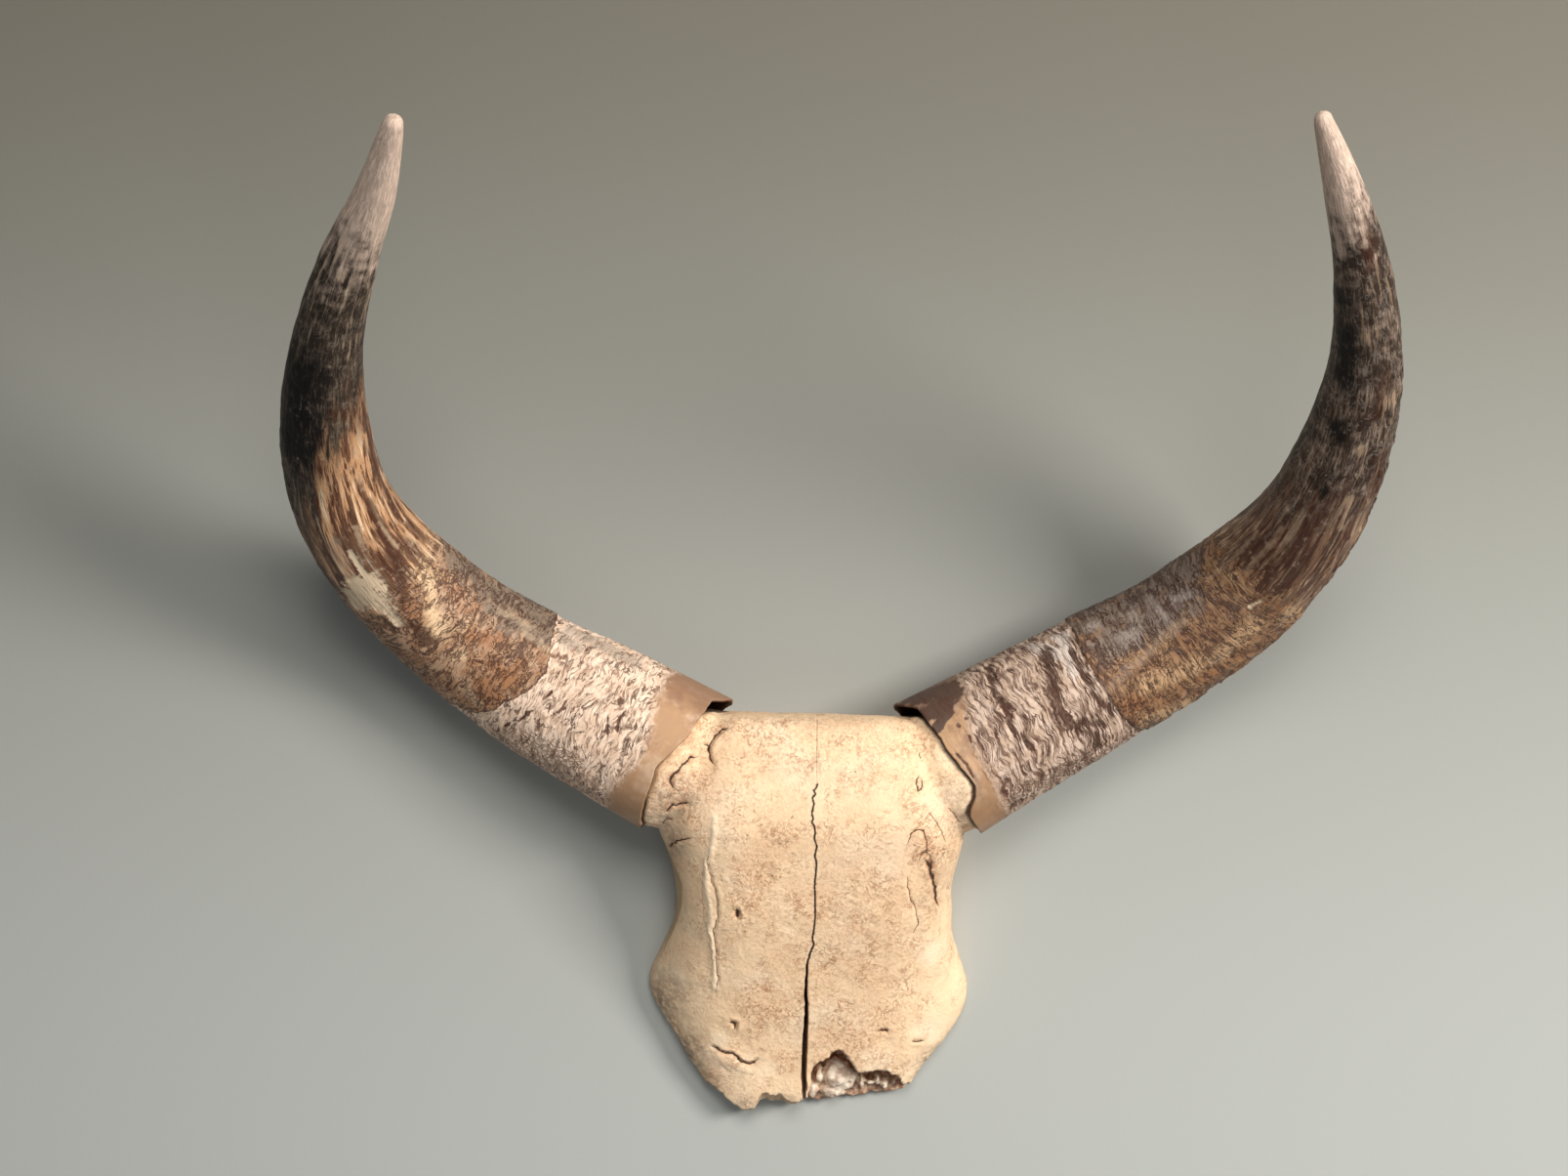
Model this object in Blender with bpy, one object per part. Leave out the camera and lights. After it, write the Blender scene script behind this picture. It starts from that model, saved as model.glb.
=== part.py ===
"""The frontlet of a long-horned steer: the two frontal bones with the parietal behind them, two horn cores
and two horn sheaths, lying on its sawn back with the horn tips up.

Metres, +Z up. While it is modelled, X runs across the face from the midline (the viewer's left is -X), Y runs
up the forehead from the poll edge (the nose end is -Y), and Z is the height over the floor that the back lies
on. At the end everything is shifted together, so that the origin is under the middle of the bounding box.
"""

import math

import bmesh
import bpy
from mathutils import Vector

MM = 0.001
GAP = 0.3 * MM  # between bones that touch

# Forehead, seen from the front: one row for each section across it, from the poll edge to the nose end.
# y, half width left, half width right, height at the midline, height of the side edge,
# and two numbers for how square the shoulder is (flatness of the top, steepness of the side).
FOREHEAD = (
    (-6, 76, 74, 61, 12, 5.0, 2.0),
    (-8, 84, 81, 81, 20, 5.5, 2.0),
    (-14, 94, 90, 96, 30, 6.0, 2.0),
    (-32, 104, 99, 106, 38, 6.5, 2.0),
    (-55, 111, 107, 109, 40, 6.5, 2.0),
    (-78, 114, 111, 107, 36, 6.5, 2.0),
    (-92, 114, 113, 103, 30, 6.0, 2.0),
    (-106, 108, 110, 98, 27, 6.0, 2.0),
    (-125, 103, 106.5, 91, 24, 6.0, 2.0),
    (-145, 101, 107.5, 83, 20, 5.5, 2.0),
    (-165, 104, 109, 74, 16, 4.5, 1.9),
    (-185, 113, 116, 65, 11, 3.6, 1.6),
    (-206, 121, 122.5, 56, 8, 3.0, 1.4),
    (-226, 115, 119, 48, 8, 3.0, 1.4),
    (-246, 101, 107, 40, 8, 3.4, 1.6),
    (-266, 88, 91, 33, 8, 4.0, 1.9),
    (-286, 75, 79, 28, 8, 4.0, 2.0),
    (-310, 64, 68, 23, 8, 4.0, 2.0),
)
POLL_LEAN = 0.13  # how far the back of the poll hangs over, as a share of its height
POLL_DEPTH = 70  # below the poll edge, where the sections stand upright again
FRONT_POINTS = 21  # points across the front of each section

# Horn axes from the sheath's rim to its tip: x, y, z and the sheath's outer radius.
LEFT_HORN = (
    (-102, -35, 60, 58),
    (-159, -7, 53, 55.5),
    (-216, 22, 45.2, 51),
    (-268, 57, 51, 44.5),
    (-310, 96, 80, 40),
    (-336, 136, 124, 35.5),
    (-343, 180, 170, 31.5),
    (-337, 221, 218, 26),
    (-322, 259, 267, 21.5),
    (-301, 293, 317, 17.5),
    (-277.5, 323, 366, 12.5),
    (-256.5, 357, 421.5, 5.8),
)
RIGHT_HORN = (
    (95, -35, 60, 57),
    (151, -3, 53, 53.5),
    (207, 30, 44.8, 50.5),
    (262, 64, 50.5, 46),
    (308, 103, 77, 43),
    (338, 143, 121, 37),
    (352, 186, 168, 32),
    (354, 229, 217, 26.5),
    (344.5, 269, 267, 21.5),
    (326, 306, 318, 17),
    (302.5, 339, 367, 12.2),
    (274, 373.6, 421.5, 5.2),
)
RIM_DEPTH = 0.84  # how deep the horn is at its rim from front to back, as a share of its width
ROUND_FROM = 300 * MM  # from here on to the tip it is round
HORN_SIDES = 24
SHEATH_RINGS = 32
DOME = ((0.45, 0.88), (0.8, 0.58), (0.98, 0.2))  # a rounded end's rings: share of its length and of its width
CORE_SHARE = 0.6  # of the horn's length that the bony core fills
CORE_RINGS = 19
CORE_SIDES = 20
RIM_WALL = 4.5 * MM  # thickness of the sheath at its rim
DEEP_WALL = 18 * MM  # and where the core ends
CORE_CLEARANCE = 1.2 * MM  # between the core and the sheath round it
CORE_DOME = 10 * MM  # length of its rounded end
RIM_CLEAR = 10 * MM  # how far the bore's cutter stands out of the rim
STUB_START = -45 * MM  # the root of the core, inside the forehead, measured along the horn from the rim
STUB_END = 14 * MM  # where the core is parted from the forehead, inside the sheath
STUB_RINGS = 6
STUB_SHRINK = 3 * MM  # how much slimmer the root is than the sheath's bore
STUB_WAIST = 0.62  # its width where it starts, as a share of its width at the rim
STUB_BACK = 1 * MM  # the root ends at this y, so that the poll's edge runs straight into both rims
SEAT_LENGTH = 60 * MM  # of the sheath's room beside the forehead
SEAT_RINGS = 4

# The broken nose end, from its right corner to its left, and the hole in the front wall at its right half.
BROKEN_END = (
    (79, -281), (75, -287), (57, -290), (34, -293), (4, -295), (-1, -295), (-7, -299),
    (-18, -295.5), (-32, -296), (-38, -304), (-46, -305.5), (-56, -298), (-75, -284), (-78, -280),
)
FRONT_BREAK = ((2, -268), (11, -259), (22, -253.5), (30, -261), (37, -272), (56, -271), (71, -273), (84, -280))
BACK_WALL = 8 * MM  # bone left behind the hole in the front wall
SINUS = ((42, -262, 15), (37, 17, 8.5))  # centre and half sizes of the chamber behind it

# The crack along the midline: x and y of its middle, and its width. It closes toward the poll.
CRACK = (
    (0, 20, 0.3), (0.5, -40, 0.3), (2, -50, 0.35), (-1.2, -56, 0.4), (1.5, -61, 0.4), (-0.8, -77, 0.5),
    (2.3, -86, 0.6), (3.5, -103, 0.7), (2.9, -129, 0.9), (2.4, -159, 1.1), (0.8, -177, 1.4),
    (-0.8, -193, 1.9), (-1.7, -211, 2.6), (-1, -250, 3.4), (0, -330, 4.0),
)

# Hollows of the back: centre and half sizes.
BRAINCASE = ((0, -95, -8), (46, 56, 64))
ORBITS = (((-82, -211, -6), (30, 38, 30)), ((82, -211, -6), (30, 38, 30)))

# The parietal closes the back of the poll below the frontals.
PARIETAL_HALF_WIDTH = 64 * MM
PARIETAL_FRONT = -24 * MM
PARIETAL_TOP = 56 * MM

BONE = (0.76, 0.60, 0.43)
OLD_BONE = (0.62, 0.47, 0.32)
CORE = (0.66, 0.52, 0.38)
HORN = (0.30, 0.19, 0.12)
FAR = 0.5  # a cutter's reach beyond the object


def clear_scene():
    for obj in list(bpy.data.objects):
        bpy.data.objects.remove(obj)


def finish(name, color, roughness):
    """A plain material of that colour."""
    material = bpy.data.materials.new(name)
    material.use_nodes = True
    shader = material.node_tree.nodes["Principled BSDF"]
    shader.inputs["Base Color"].default_value = (*color, 1)
    shader.inputs["Roughness"].default_value = roughness
    shader.inputs["Metallic"].default_value = 0
    return material


def as_object(name, bm, material=None):
    """The bmesh as an object, shaded smooth but for its sharp edges."""
    bmesh.ops.recalc_face_normals(bm, faces=bm.faces)
    mesh = bpy.data.meshes.new(name)
    bm.to_mesh(mesh)
    bm.free()
    mesh.shade_smooth()
    mesh.set_sharp_from_angle(angle=math.radians(40))
    obj = bpy.data.objects.new(name, mesh)
    bpy.context.scene.collection.objects.link(obj)
    if material:
        mesh.materials.append(material)
    else:
        obj.hide_render = True
        obj.display_type = "WIRE"
    return obj


def skin_over(rings):
    """A closed body through the rings, each with as many points: one capped circle, extruded ring by ring."""
    bm = bmesh.new()
    bmesh.ops.create_circle(bm, cap_ends=True, segments=len(rings[0]), radius=1)
    bm.faces.ensure_lookup_table()
    cap = bm.faces[0]
    for vert, point in zip(cap.verts, rings[0]):
        vert.co = point
    for ring in rings[1:]:
        cap = bmesh.ops.extrude_discrete_faces(bm, faces=[cap])["faces"][0]
        for vert, point in zip(cap.verts, ring):
            vert.co = point
    bmesh.ops.holes_fill(bm, edges=bm.edges)
    return bm


def prism(outline, low, high):
    """A flat outline given in millimetres, extruded from one height to the other."""
    return skin_over([[Vector((x * MM, y * MM, z)) for x, y in outline] for z in (low, high)])


def egg(centre, half_sizes, rings=12):
    """An ellipsoid, its sizes given in millimetres."""
    bm = bmesh.new()
    bmesh.ops.create_uvsphere(bm, u_segments=2 * rings, v_segments=rings, radius=1)
    bmesh.ops.scale(bm, vec=Vector(half_sizes) * MM, verts=bm.verts)
    bmesh.ops.translate(bm, vec=Vector(centre) * MM, verts=bm.verts)
    return bm


def block(low, high):
    """A box between two corners."""
    bm = bmesh.new()
    bmesh.ops.create_cube(bm, size=1)
    bmesh.ops.scale(bm, vec=high - low, verts=bm.verts)
    bmesh.ops.translate(bm, vec=(low + high) / 2, verts=bm.verts)
    return bm


def combine(obj, operation, tool):
    """A live Boolean of the tool on the object."""
    modifier = obj.modifiers.new(operation.title(), "BOOLEAN")
    modifier.operation = operation
    modifier.solver = "EXACT"
    modifier.object = tool


def smooth_step(points, at):
    """The point at that place on the smooth curve through evenly spaced points, by Catmull and Rom's rule."""
    last = len(points) - 1
    index = min(int(at), last - 1)
    t = at - index
    p1, p2 = points[index], points[index + 1]
    p0 = points[index - 1] if index else 2 * p1 - p2
    p3 = points[index + 2] if index + 2 <= last else 2 * p2 - p1
    bend = 2 * p0 - 5 * p1 + 4 * p2 - p3 + t * (3 * (p1 - p2) + p3 - p0)
    return p1 + 0.5 * t * (p2 - p0 + t * bend)


class Horn:
    """The axis and outer radius of one horn, and rings across it, oval near the rim and round beyond."""

    def __init__(self, stations):
        self.stations = [Vector(station) * MM for station in stations]
        count = len(stations) - 1
        steps = 20 * count
        self.places = [i * count / steps for i in range(steps + 1)]
        line = [smooth_step(self.stations, place) for place in self.places]
        self.lengths = [0.0]
        for a, b in zip(line, line[1:]):
            self.lengths.append(self.lengths[-1] + (b.xyz - a.xyz).length)
        self.length = self.lengths[-1]

    def at(self, distance):
        """Centre and radius at that distance from the rim; before it, the axis runs straight on."""
        if distance < 0:
            root, near = self.stations[0], smooth_step(self.stations, 0.05)
            back = (root.xyz - near.xyz).normalized()
            return root.xyz - back * distance, root.w
        i = 1
        while i < len(self.lengths) - 1 and self.lengths[i] < distance:
            i += 1
        share = (distance - self.lengths[i - 1]) / (self.lengths[i] - self.lengths[i - 1])
        found = smooth_step(self.stations, self.places[i - 1] + share * (self.places[i] - self.places[i - 1]))
        return found.xyz, found.w

    def rings(self, distances, radius_at, sides=HORN_SIDES):
        """Rings square to the axis, turned as little as can be from one to the next."""
        step = 1 * MM
        turns = [math.tau * i / sides for i in range(sides)]
        out, made = Vector((0, 0, 1)), []
        for distance in distances:
            centre, radius = self.at(distance)
            along = (self.at(distance + step)[0] - self.at(distance - step)[0]).normalized()
            out = (out - along * out.dot(along)).normalized()
            width = along.cross(out) * radius_at(distance, radius)
            depth = out * radius_at(distance, radius) * depth_share(distance)
            made.append([centre + depth * math.cos(turn) + width * math.sin(turn) for turn in turns])
        return made


def depth_share(distance):
    """How deep the horn is at that distance from the rim, as a share of its width."""
    t = min(max(distance / ROUND_FROM, 0.0), 1.0)
    return RIM_DEPTH + (1 - RIM_DEPTH) * t * t * (3 - 2 * t)


def spread(start, end, count):
    """Evenly spaced distances, both ends included."""
    return [start + (end - start) * i / (count - 1) for i in range(count)]


def bore_radius(horn, distance, radius):
    """The hollow inside the sheath: thin walled at the rim, and thick where the core ends."""
    share = max(0.0, distance) / (CORE_SHARE * horn.length)
    return radius - RIM_WALL - (DEEP_WALL - RIM_WALL) * share**2


def horn_solid(horn, start, end, rings, radius_at, sides=HORN_SIDES, blunt=0.0):
    """A length of the horn; blunt closes its end in a dome that long."""
    body = horn.rings(spread(start, end - blunt, rings), radius_at, sides)
    last = body[-1]
    centre = sum(last, Vector()) / sides
    along = (horn.at(end)[0] - horn.at(end - 1 * MM)[0]).normalized()
    for beyond, width in DOME if blunt else ():
        body.append([centre + along * beyond * blunt + (point - centre) * width for point in last])
    return skin_over(body)


def make_sheath(name, horn, material, floor):
    tip_radius = horn.stations[-1].w
    sheath = as_object(
        name,
        horn_solid(horn, 0, horn.length, SHEATH_RINGS, lambda d, r: r, blunt=tip_radius),
        material,
    )
    core_end = CORE_SHARE * horn.length
    hollow = as_object(
        name + "_bore",
        horn_solid(
            horn, -RIM_CLEAR, core_end, CORE_RINGS, lambda d, r: bore_radius(horn, d, r), CORE_SIDES, CORE_DOME
        ),
    )
    combine(sheath, "DIFFERENCE", hollow)
    combine(sheath, "DIFFERENCE", floor)
    return sheath


def make_core(name, horn, material):
    def radius_at(distance, radius):
        return bore_radius(horn, distance, radius) - CORE_CLEARANCE

    end = CORE_SHARE * horn.length - CORE_CLEARANCE
    body = horn_solid(horn, STUB_END + GAP, end, CORE_RINGS, radius_at, CORE_SIDES, CORE_DOME)
    return as_object(name, body, material)


def make_stub(name, horn, behind_poll):
    """The root of the core, which swells out of the frontal bone toward the sheath."""
    def radius_at(distance, radius):
        swell = min(1 - distance / STUB_START, 1.0)
        return (bore_radius(horn, distance, radius) - STUB_SHRINK) * (STUB_WAIST + (1 - STUB_WAIST) * swell)

    stub = as_object(name, horn_solid(horn, STUB_START, STUB_END, STUB_RINGS, radius_at))
    combine(stub, "DIFFERENCE", behind_poll)
    return stub


def make_seat(name, horn):
    """The room that the sheath's rim takes beside the forehead."""
    return as_object(name, horn_solid(horn, -GAP, SEAT_LENGTH, SEAT_RINGS, lambda d, r: r + GAP))


def section(y, left, right, middle, edge, flat, steep):
    """One section across the forehead: over the front from left to right, then along the sawn back."""
    lean = POLL_LEAN * max(0.0, 1 + y / POLL_DEPTH)
    points = []
    for i in range(FRONT_POINTS):
        share = -math.cos(math.pi * i / (FRONT_POINTS - 1))
        width = left if share < 0 else right
        rise = max(0.0, 1 - abs(share) ** flat) ** (1 / steep)
        height = edge + (middle - edge) * rise
        points.append(Vector((share * width, y + lean * height, height)) * MM)
    points.append(Vector((right, y, 0)) * MM)
    points.append(Vector((-left, y, 0)) * MM)
    return points


def side_of_crack(side):
    """A cutter for all that lies left (-1) or right (1) of the midline, with the crack's own half width."""
    edge = [(x - side * width / 2, y) for x, y, width in CRACK]
    far = side * FAR / MM
    return prism(edge + [(far, CRACK[-1][1]), (far, CRACK[0][1])], -FAR, FAR)


def make_tools(seats, stubs):
    """What is cut from and added to the forehead, in order."""
    nose_side = [(FAR / MM, BROKEN_END[0][1]), *BROKEN_END, (-FAR / MM, BROKEN_END[-1][1])]
    below = [(-FAR / MM, -FAR / MM), (FAR / MM, -FAR / MM)]
    hole = [*FRONT_BREAK, (FRONT_BREAK[-1][0], -FAR / MM), (FRONT_BREAK[0][0], -FAR / MM)]
    tools = [("DIFFERENCE", seat) for seat in seats] + [("UNION", stub) for stub in stubs]
    tools += [("DIFFERENCE", as_object("braincase", egg(*BRAINCASE)))]
    tools += [("DIFFERENCE", as_object(f"orbit_{i}", egg(*orbit))) for i, orbit in enumerate(ORBITS)]
    tools += [
        ("DIFFERENCE", as_object("nose_end", prism(nose_side + below, -FAR, FAR))),
        ("DIFFERENCE", as_object("front_break", prism(hole, BACK_WALL, FAR))),
        ("DIFFERENCE", as_object("sinus", egg(*SINUS))),
    ]
    return tools


def parietal_block(extra):
    """The space of the parietal bone, grown by extra on its inner sides."""
    half, front, top = PARIETAL_HALF_WIDTH + extra, PARIETAL_FRONT - extra, PARIETAL_TOP + extra
    return block(Vector((-half, front, -FAR)), Vector((half, FAR, top)))


def make_bones(seats, stubs, bone, old_bone):
    """The forehead, parted into two frontals along the midline, and the parietal behind the poll."""
    rings = [section(*row) for row in FOREHEAD]
    tools = make_tools(seats, stubs)
    space = as_object("parietal_space", parietal_block(0))
    socket = as_object("parietal_socket", parietal_block(GAP))
    bones = []
    for name, side in (("frontal_left", 1), ("frontal_right", -1)):
        frontal = as_object(name, skin_over(rings), bone)
        for operation, tool in tools:
            combine(frontal, operation, tool)
        combine(frontal, "DIFFERENCE", socket)
        combine(frontal, "DIFFERENCE", as_object(name + "_other_side", side_of_crack(side)))
        bones.append(frontal)
    parietal = as_object("parietal", skin_over(rings), old_bone)
    combine(parietal, "INTERSECT", space)
    return [*bones, parietal]


def centre_over_origin(nodes):
    """Parents everything to one empty, and moves that so that the box's middle stands on the origin."""
    bpy.context.view_layer.update()
    graph = bpy.context.evaluated_depsgraph_get()
    corners = [Vector(c) for node in nodes for c in node.evaluated_get(graph).bound_box]
    middle_x = (min(c.x for c in corners) + max(c.x for c in corners)) / 2
    middle_y = (min(c.y for c in corners) + max(c.y for c in corners)) / 2
    whole = bpy.data.objects.new("frontlet", None)
    bpy.context.scene.collection.objects.link(whole)
    for obj in bpy.context.scene.objects:
        if obj != whole:
            obj.parent = whole
    whole.location = (-middle_x, -middle_y, 0)


def main():
    clear_scene()
    bone, old_bone = finish("bone", BONE, 0.8), finish("old_bone", OLD_BONE, 0.85)
    core, keratin = finish("horn_core", CORE, 0.9), finish("horn", HORN, 0.55)
    floor = as_object("floor_level", block(Vector((-FAR, -FAR, -FAR)), Vector((FAR, FAR, 0))))
    behind_poll = as_object("behind_poll", block(Vector((-FAR, STUB_BACK, -FAR)), Vector((FAR, FAR, FAR))))
    nodes, seats, stubs = [], [], []
    for side, stations in (("left", LEFT_HORN), ("right", RIGHT_HORN)):
        horn = Horn(stations)
        nodes.append(make_sheath("horn_sheath_" + side, horn, keratin, floor))
        nodes.append(make_core("horn_core_" + side, horn, core))
        seats.append(make_seat("seat_" + side, horn))
        stubs.append(make_stub("stub_" + side, horn, behind_poll))
    nodes += make_bones(seats, stubs, bone, old_bone)
    centre_over_origin(nodes)


main()
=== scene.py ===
# %% [markdown]
# # The frontlet of a long-horned steer
# This lesson finishes a skull cap with its horns. The solids that carry the real sizes are loaded first and stay
# where they are. Every piece made below takes its place from them, so nothing has to be fitted afterwards.

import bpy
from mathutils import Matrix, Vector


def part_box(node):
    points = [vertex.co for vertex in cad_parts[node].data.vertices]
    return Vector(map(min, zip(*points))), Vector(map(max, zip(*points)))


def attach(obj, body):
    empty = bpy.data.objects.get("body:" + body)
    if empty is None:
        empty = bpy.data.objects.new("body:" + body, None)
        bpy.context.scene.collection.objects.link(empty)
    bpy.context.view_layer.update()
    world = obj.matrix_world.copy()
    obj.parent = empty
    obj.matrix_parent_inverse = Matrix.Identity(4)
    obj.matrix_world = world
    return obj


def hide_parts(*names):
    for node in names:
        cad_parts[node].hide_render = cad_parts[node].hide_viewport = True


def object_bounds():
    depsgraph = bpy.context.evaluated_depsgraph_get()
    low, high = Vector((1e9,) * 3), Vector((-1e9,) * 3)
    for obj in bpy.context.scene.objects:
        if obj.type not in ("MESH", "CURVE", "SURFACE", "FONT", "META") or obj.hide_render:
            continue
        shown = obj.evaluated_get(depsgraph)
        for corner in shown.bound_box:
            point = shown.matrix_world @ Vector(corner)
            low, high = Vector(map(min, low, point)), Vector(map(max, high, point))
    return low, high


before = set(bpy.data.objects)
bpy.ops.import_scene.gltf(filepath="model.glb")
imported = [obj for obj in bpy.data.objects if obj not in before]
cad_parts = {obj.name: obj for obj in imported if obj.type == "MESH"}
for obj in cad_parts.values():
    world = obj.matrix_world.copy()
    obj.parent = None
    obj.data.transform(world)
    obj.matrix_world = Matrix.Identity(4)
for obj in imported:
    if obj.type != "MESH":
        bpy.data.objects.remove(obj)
cad_low, cad_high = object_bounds()
print("nodes:", ", ".join(sorted(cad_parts)))

# %% [markdown]
# ## Places on the skull
# A bone is easiest to describe from the bone itself, so places are given in millimetres from the middle of the
# poll, the ridge between the horns. Two boxes of the frame say where that is.

# %% Skull places
import math

import bmesh
import bpy
import numpy as np
from mathutils import Vector, noise

MM = 0.001
NOSE_REACH = 305.5  # from the poll edge to the end of the left frontal
parietal_low, parietal_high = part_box("parietal")
ORIGIN = Vector(((parietal_low.x + parietal_high.x) / 2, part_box("frontal_left")[0].y + NOSE_REACH * MM, 0))


def place(x, y, z=0.0):
    """A skull place in millimetres, as a point of the frame in metres."""
    return ORIGIN + Vector((x, y, z)) * MM


print("poll edge, middle:", [round(value, 4) for value in place(0, 0)])

# %% [markdown]
# ## The camera
# The specimen lies on its back, so the camera looks straight down. A normal lens at arm's length above gives the
# same foreshortening as the picture: the horn tips, which rise toward it, look larger than they are.

# %% Camera
CAMERA_OVER = (-26.2, 93.0)  # the place in the middle of the picture
CAMERA_HEIGHT = 1.67
CAMERA_TURN = math.radians(1.6)
LENS = 50  # millimetres, as is the sensor's width
SENSOR_WIDTH = 36

camera_data = bpy.data.cameras.new("camera")
camera_data.lens = LENS
camera_data.sensor_width = SENSOR_WIDTH
camera = bpy.data.objects.new("camera", camera_data)
bpy.context.scene.collection.objects.link(camera)
camera.location = (*place(*CAMERA_OVER).xy, CAMERA_HEIGHT)
camera.rotation_euler = (0, 0, CAMERA_TURN)
bpy.context.scene.camera = camera
print("camera:", [round(value, 3) for value in camera.location])

# %% [markdown]
# ## A finish in a few words
# A material is a small network. This helper adds one node at a time and links whatever it is handed, so that the
# recipes below read as a list of layers: a ground colour, then mottling, stains, dirt and relief.

# %% Helper for finishes


class Finish:
    """A material built layer by layer."""

    def __init__(self, name):
        self.material = bpy.data.materials.new(name)
        self.material.use_nodes = True
        self.tree = self.material.node_tree
        self.shader = self.tree.nodes["Principled BSDF"]

    def set(self, node, inputs):
        for name, value in inputs.items():
            if isinstance(value, bpy.types.NodeSocket):
                self.tree.links.new(value, node.inputs[name])
            else:
                node.inputs[name].default_value = value
        return node

    def add(self, kind, inputs, output=0, **options):
        node = self.tree.nodes.new("ShaderNode" + kind)
        for name, value in options.items():
            setattr(node, name, value)
        return self.set(node, inputs).outputs[output]

    def here(self):
        """Places on the piece, in metres."""
        return self.add("TexCoord", {}, output="Object")

    def attribute(self, name, output="Fac"):
        return self.add("Attribute", {}, output=output, attribute_name=name)

    def noise(self, at, size, detail=4.0, roughness=0.55, bend=0.0):
        """Cloudy noise whose blobs are about that many metres across."""
        shape = {"Detail": detail, "Roughness": roughness, "Distortion": bend}
        return self.add("TexNoise", {"Vector": at, "Scale": 1 / size, **shape})

    def cells(self, at, size):
        """How far inside a cell of that size each place is: 0 on the border between two."""
        return self.add("TexVoronoi", {"Vector": at, "Scale": 1 / size}, feature="DISTANCE_TO_EDGE")

    def stretch(self, at, x, y, z):
        """The same places with each axis multiplied."""
        return self.add("Mapping", {"Vector": at, "Scale": (x, y, z)})

    def math(self, operation, a, b=0.0, clamp=False):
        return self.add("Math", {0: a, 1: b}, operation=operation, use_clamp=clamp)

    def times(self, *values):
        found = values[0]
        for value in values[1:]:
            found = self.math("MULTIPLY", found, value)
        return found

    def less(self, value):
        return self.math("SUBTRACT", 1.0, value)

    def between(self, value, low, high):
        """0 below low, 1 above high, and smooth in between."""
        inputs = {"Value": value, "From Min": low, "From Max": high}
        return self.add("MapRange", inputs, interpolation_type="SMOOTHSTEP")

    def lines(self, at, size, width, detail, bend):
        """1 along thin wandering lines: where the noise passes its middle value."""
        off = self.math("ABSOLUTE", self.math("SUBTRACT", self.noise(at, size, detail, 0.5, bend), 0.5))
        return self.less(self.between(off, width * 0.25, width))

    def patch(self, name, wobble, edge=0.2, reach=1.6):
        """A patch with a torn edge: its note is 0.5 on the border, and the wobble moves that border."""
        moved = self.math("ADD", self.attribute(name), self.times(self.math("SUBTRACT", wobble, 0.5), reach))
        return self.between(moved, 0.5 - edge, 0.5 + edge)

    def mix(self, share, a, b):
        """Colour a with that share of colour b over it."""
        colours = {6: a, 7: b}
        for index, value in colours.items():
            if not isinstance(value, bpy.types.NodeSocket):
                colours[index] = (*value, 1)
        return self.add("Mix", {0: share, **colours}, output=2, data_type="RGBA")

    def blend(self, share, a, b):
        """Number a with that share of number b over it."""
        return self.add("Mix", {0: share, 2: a, 3: b}, data_type="FLOAT")

    def bump(self, height, depth):
        """Fine relief, that many metres deep."""
        return self.add("Bump", {"Height": height, "Distance": depth, "Strength": 1.0})


print("finish helper ready")

# %% [markdown]
# ## The floor
# A plain pale floor keeps the eye on the specimen. One flat square is enough for it. Its plaster has a fine grain,
# and its colour is painted darker and warmer toward the tips, a painted falloff of light as on a wall away from
# the window. It is only the stage and no part of the object.

# %% Floor
FLOOR_SIZE = 8.0
# Painted light: the floor's colour runs from the brighter near tone to the darker, warmer far one.
FLOOR_NEAR = (0.415, 0.424, 0.396)
FLOOR_FAR = (0.139, 0.128, 0.098)
FLOOR_FADE = (-0.45, 0.62)  # from the near colour to the far one, in metres up the picture
PLASTER_GRAIN = 0.004
PLASTER_RELIEF = 0.00006

floor_bm = bmesh.new()
bmesh.ops.create_grid(floor_bm, x_segments=2, y_segments=2, size=FLOOR_SIZE / 2)
floor_mesh = bpy.data.meshes.new("floor")
floor_bm.to_mesh(floor_mesh)
floor_bm.free()
floor = bpy.data.objects.new("floor", floor_mesh)
bpy.context.scene.collection.objects.link(floor)
plaster = Finish("plaster")
plaster_grain = plaster.noise(plaster.here(), PLASTER_GRAIN, detail=3)
up_the_floor = plaster.add("SeparateXYZ", {0: plaster.here()}, output="Y")
plaster.set(plaster.shader, {
    "Base Color": plaster.mix(plaster.between(up_the_floor, *FLOOR_FADE), FLOOR_NEAR, FLOOR_FAR),
    "Roughness": 0.9, "Normal": plaster.bump(plaster_grain, PLASTER_RELIEF),
})
floor_mesh.materials.append(plaster.material)
print("floor:", FLOOR_SIZE, "m across")

# %% [markdown]
# ## The light
# Shadows show how far the horns rise off the floor. One soft lamp stands on the right, so the horns cast long
# shadows to the left, a larger one beyond the tips puts shadow under both horns, and a weak one above the nose end
# keeps it from going black. Square area lamps are used, because they give a shadow a soft edge.

# %% Lamps and view
LAMPS = {  # where each stands, where it looks, its size, watts and colour
    "key": ((1.95, 0.7, 1.85), (0, -0.2, 0.05), 0.8, 78, (1.0, 0.975, 0.94)),
    "top": ((0.1, 1.05, 2.1), (0, -0.8, 0), 1.0, 32, (1.0, 0.98, 0.95)),
    "fill": ((0.2, -1.3, 1.7), (0, -0.6, 0), 1.2, 7, (0.95, 0.98, 1.0)),
}
SKY_COLOUR = (0.86, 0.93, 1.0, 1)
SKY_STRENGTH = 0.11


def lamp(name, spot, aim, size, watts, colour):
    """A soft square lamp that looks at a point."""
    data = bpy.data.lights.new(name, "AREA")
    data.size, data.energy, data.color = size, watts, colour
    obj = bpy.data.objects.new(name, data)
    bpy.context.scene.collection.objects.link(obj)
    obj.location = spot
    obj.rotation_euler = (Vector(aim) - Vector(spot)).to_track_quat("-Z", "Y").to_euler()


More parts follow.
